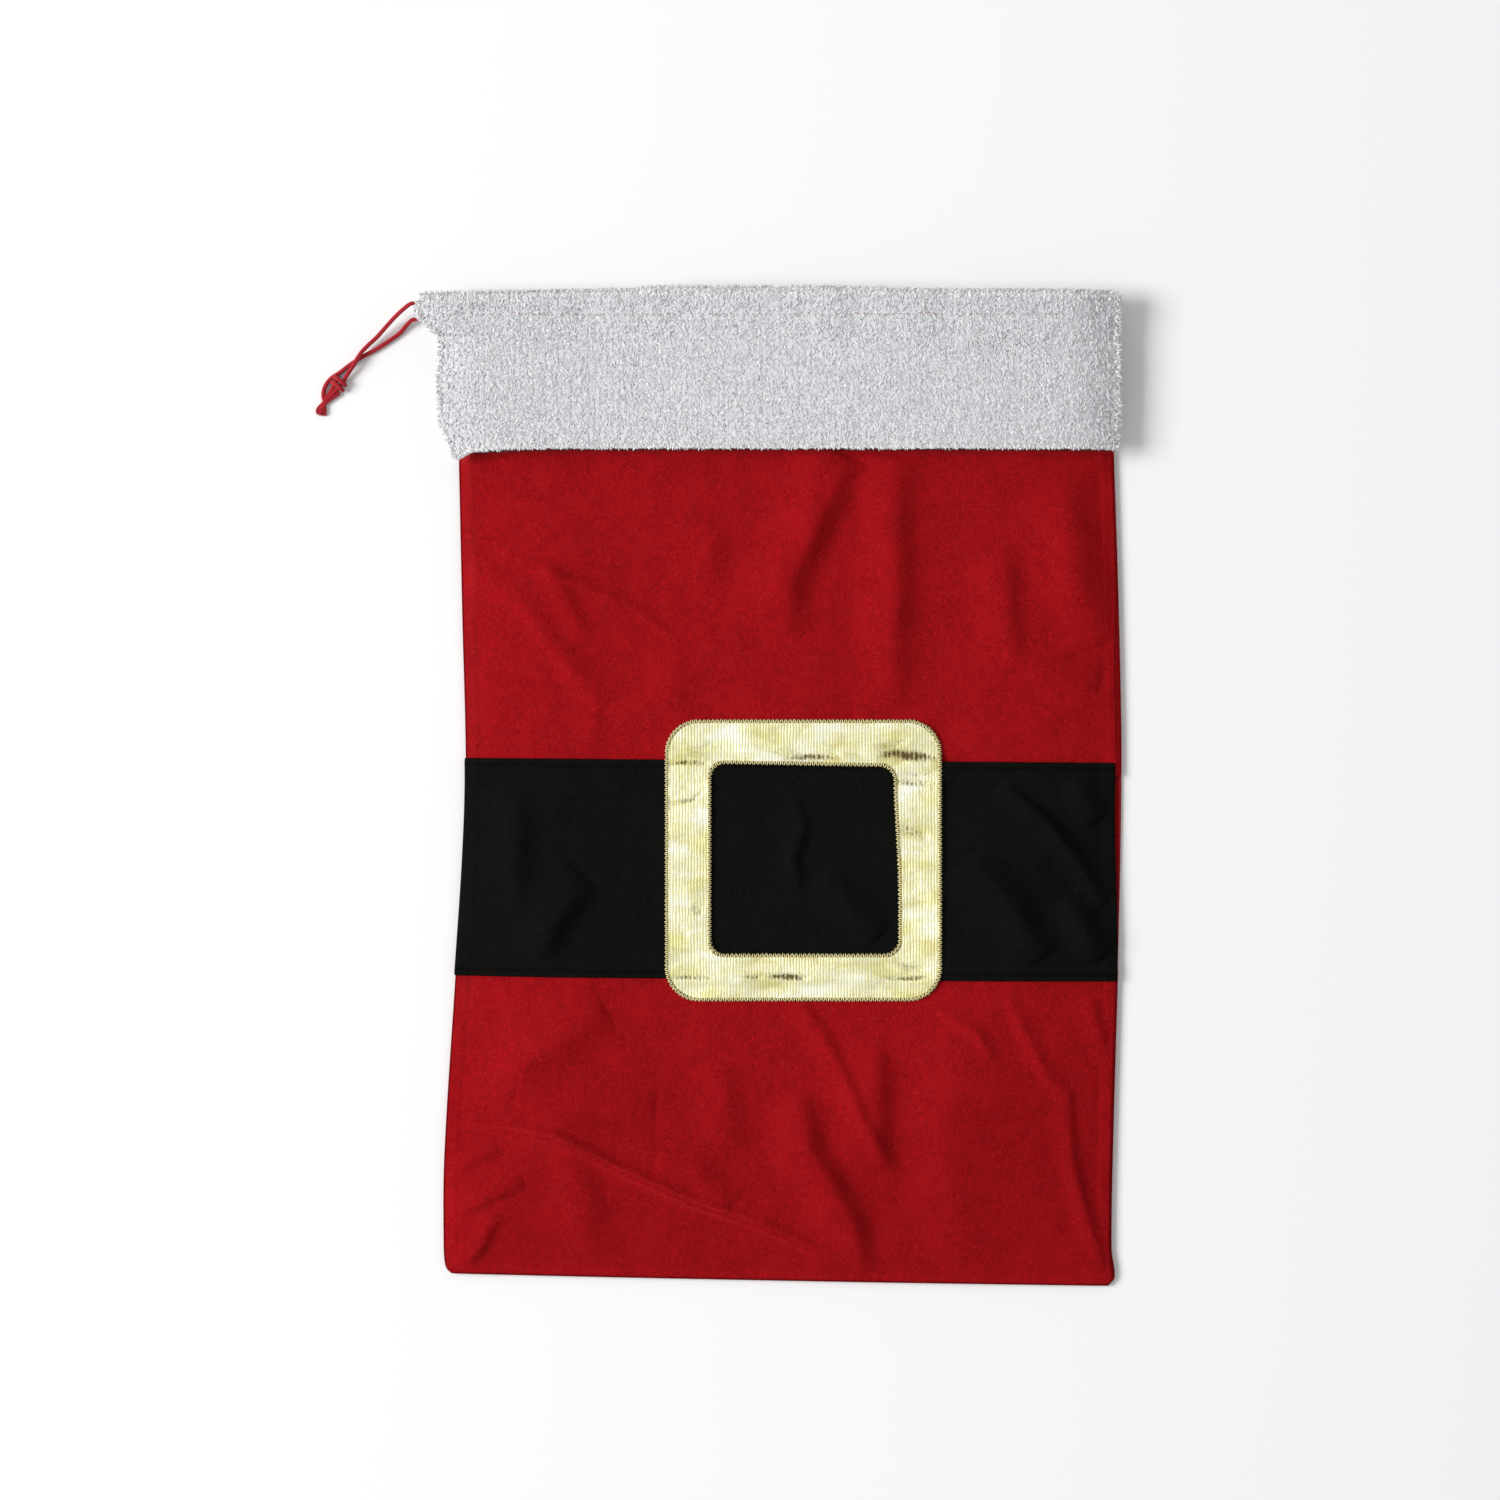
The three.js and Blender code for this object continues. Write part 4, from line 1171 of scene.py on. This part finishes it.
def add_tufts(name, groups, seed):
    """Tufts of pile. A group is roots, ways out, least and most lean in degrees, bias, length, added tone.
    The added tone paints light.
    """
    rng = np.random.default_rng(seed)
    paths, tones = [], []
    for root, normal, low, high, bias, length, lift in groups:
        lengths = rng.uniform(0.7, 1.25, len(root)) * length
        pull = root / LOCK - np.floor(root / LOCK) - 0.5
        pull[:, 2] = 0
        ways = np.asarray(bias, float) - LOCK_PULL * pull
        paths.append(tuft_paths(root, normal, lengths, low, high, ways, rng))
        bright = rng.uniform(0, 1, len(root)) < BRIGHT_TUFTS
        tone = np.where(bright, rng.uniform(0.66, 0.95, len(root)), rng.uniform(0.36, 0.56, len(root)))
        tones.append(np.clip(tone + lift, 0, 1))
    paths, tones = np.vstack(paths), np.concatenate(tones)
    radii, sides = [0.38, 0.40, 0.34, 0.14], 3
    points, faces = strands(paths, radii, sides, (0.37, 0.21, 0.9))
    points[:, 2] = np.maximum(points[:, 2], 0.1)
    piece = build(name, points, faces, white_plush, np.repeat(tones, len(radii) * sides))
    gather_cuff(piece)
    return piece


def add_cuff(name, node, grids, way, tuft_counts):
    """A cuff's backing and its pile, which is split across the cuff into one piece for each count."""
    outside, inside = grids
    points, faces = slab(outside, inside)
    piece = build(name, points, faces, white_plush, np.full(len(points), 0.45))
    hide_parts(node)
    gather_cuff(piece)
    rng = np.random.default_rng(21 if way > 0 else 22)
    columns = outside.shape[0]
    edge_tufts = 420
    last = outside.shape[1] - HEM_ROWS
    middle = np.cross(outside[1, 1] - outside[0, 1], outside[0, 2] - outside[0, 1])
    sign = way if middle[2] * way > 0 else -way
    outer_rows, fold_rows = (0, OUTER_ROWS), (OUTER_ROWS - 2, last)
    side_way = sign * way
    for part, count in enumerate(tuft_counts):
        first, past = (round((columns - 1) * k / len(tuft_counts)) for k in (part, part + 1))
        span = (first, past + 1)
        groups = []
        # The last column adds tone as painted light: on the fold at the mouth and on the fringe over the
        # seam.
        for rows, share, low, high, bias, length, lift in (
            (outer_rows, 0.87, 74, 94, (0, 0, 0), 3.0, 0.0),
            (fold_rows, 0.08, 58, 92, (0, 0.5, 0), 2.6, 0.3),
            ((0, 2), 0.05, 78, 94, (0, -1.0, 0), 2.5, 0.3),
        ):
            root, out = on_grid(outside, span, rows, rng, round(count * share))
            groups.append((root, out * side_way, low, high, bias, length, lift))
        ends = {0: ((0, 3), -1.5), len(tuft_counts) - 1: ((columns - 3, columns), 1.5)}
        if part in ends:
            edge, lean_way = ends[part]
            root, out = on_grid(outside, edge, (0, last), rng, edge_tufts)
            # The side edges' tufts get added tone too, as painted light.
            groups.append((root, out * side_way, 70, 94, (lean_way, 0, 0), 3.6 if way > 0 else 1.6, 0.25))
        add_tufts(f"{name}_pile_{part + 1}", groups, 30 + part + 10 * way)


add_cuff("front_cuff_plush", "front_cuff", cuff_grids(front_cuff_z, front_hem_z, 1), 1, (9000,) * 7)
add_cuff("back_cuff_plush", "back_cuff", cuff_grids(back_outer_z, back_hem_face_z, -1), -1, (8600,))


def front_row_z(x, y):
    """In the pile, which buries some of the stitches."""
    return front_cuff_z(x, y) + BACKING + 1.0 + 1.1 * noise(x, y, 6, 18)


def back_row_z(x, y):
    return x * 0 + 0.5


def add_casing_rows():
    for name, y, height in (("front", FRONT_STITCH, front_row_z), ("back", BACK_STITCH, back_row_z)):
        x = np.linspace(float(cuff_left(y)) + 3, float(cuff_right(y)) - HEM_SHORT - 3, 200)
        level = y + 0.8 * noise(x, x * 0, 7, 17)
        path = np.stack([x, level, height(x, level)], -1)
        names = f"{name}_casing_stitches", f"{name}_casing_thread"
        add_stitches(*names, path, CASING_STITCH, pale_thread, gather_cuff)


add_casing_rows()


# ---- Floor and light ----
def add_floor():
    reach, top = 6000, -0.5
    points = [(-reach, -reach, top), (reach, -reach, top), (reach, reach, top), (-reach, reach, top)]
    mesh = bpy.data.meshes.new("floor")
    mesh.from_pydata([[v * MM for v in p] for p in points], [], [(0, 1, 2, 3)])
    material = bpy.data.materials.new("floor")
    material.use_nodes = True
    shader = material.node_tree.nodes["Principled BSDF"]
    shader.inputs["Base Color"].default_value = (0.9, 0.9, 0.9, 1.0)
    shader.inputs["Roughness"].default_value = 0.9
    shader.inputs["Specular IOR Level"].default_value = 0.0
    mesh.materials.append(material)
    floor = bpy.data.objects.new("floor", mesh)
    bpy.context.scene.collection.objects.link(floor)


def add_lights():
    """An even white surround, and a large softbox well to the left."""
    world = bpy.data.worlds.new("studio")
    world.use_nodes = True
    background = world.node_tree.nodes["Background"]
    background.inputs["Color"].default_value = (1.0, 1.0, 1.0, 1.0)
    background.inputs["Strength"].default_value = 0.49
    bpy.context.scene.world = world
    data = bpy.data.lights.new("softbox", "AREA")
    data.shape = "SQUARE"
    data.size = 3.3
    data.energy = 540
    light = bpy.data.objects.new("softbox", data)
    light.location = (-5.8, 0.5, 4.2)
    light.rotation_euler = light.location.to_track_quat("Z", "Y").to_euler()
    bpy.context.scene.collection.objects.link(light)


add_floor()
add_lights()
bpy.context.scene.view_settings.view_transform = "Standard"
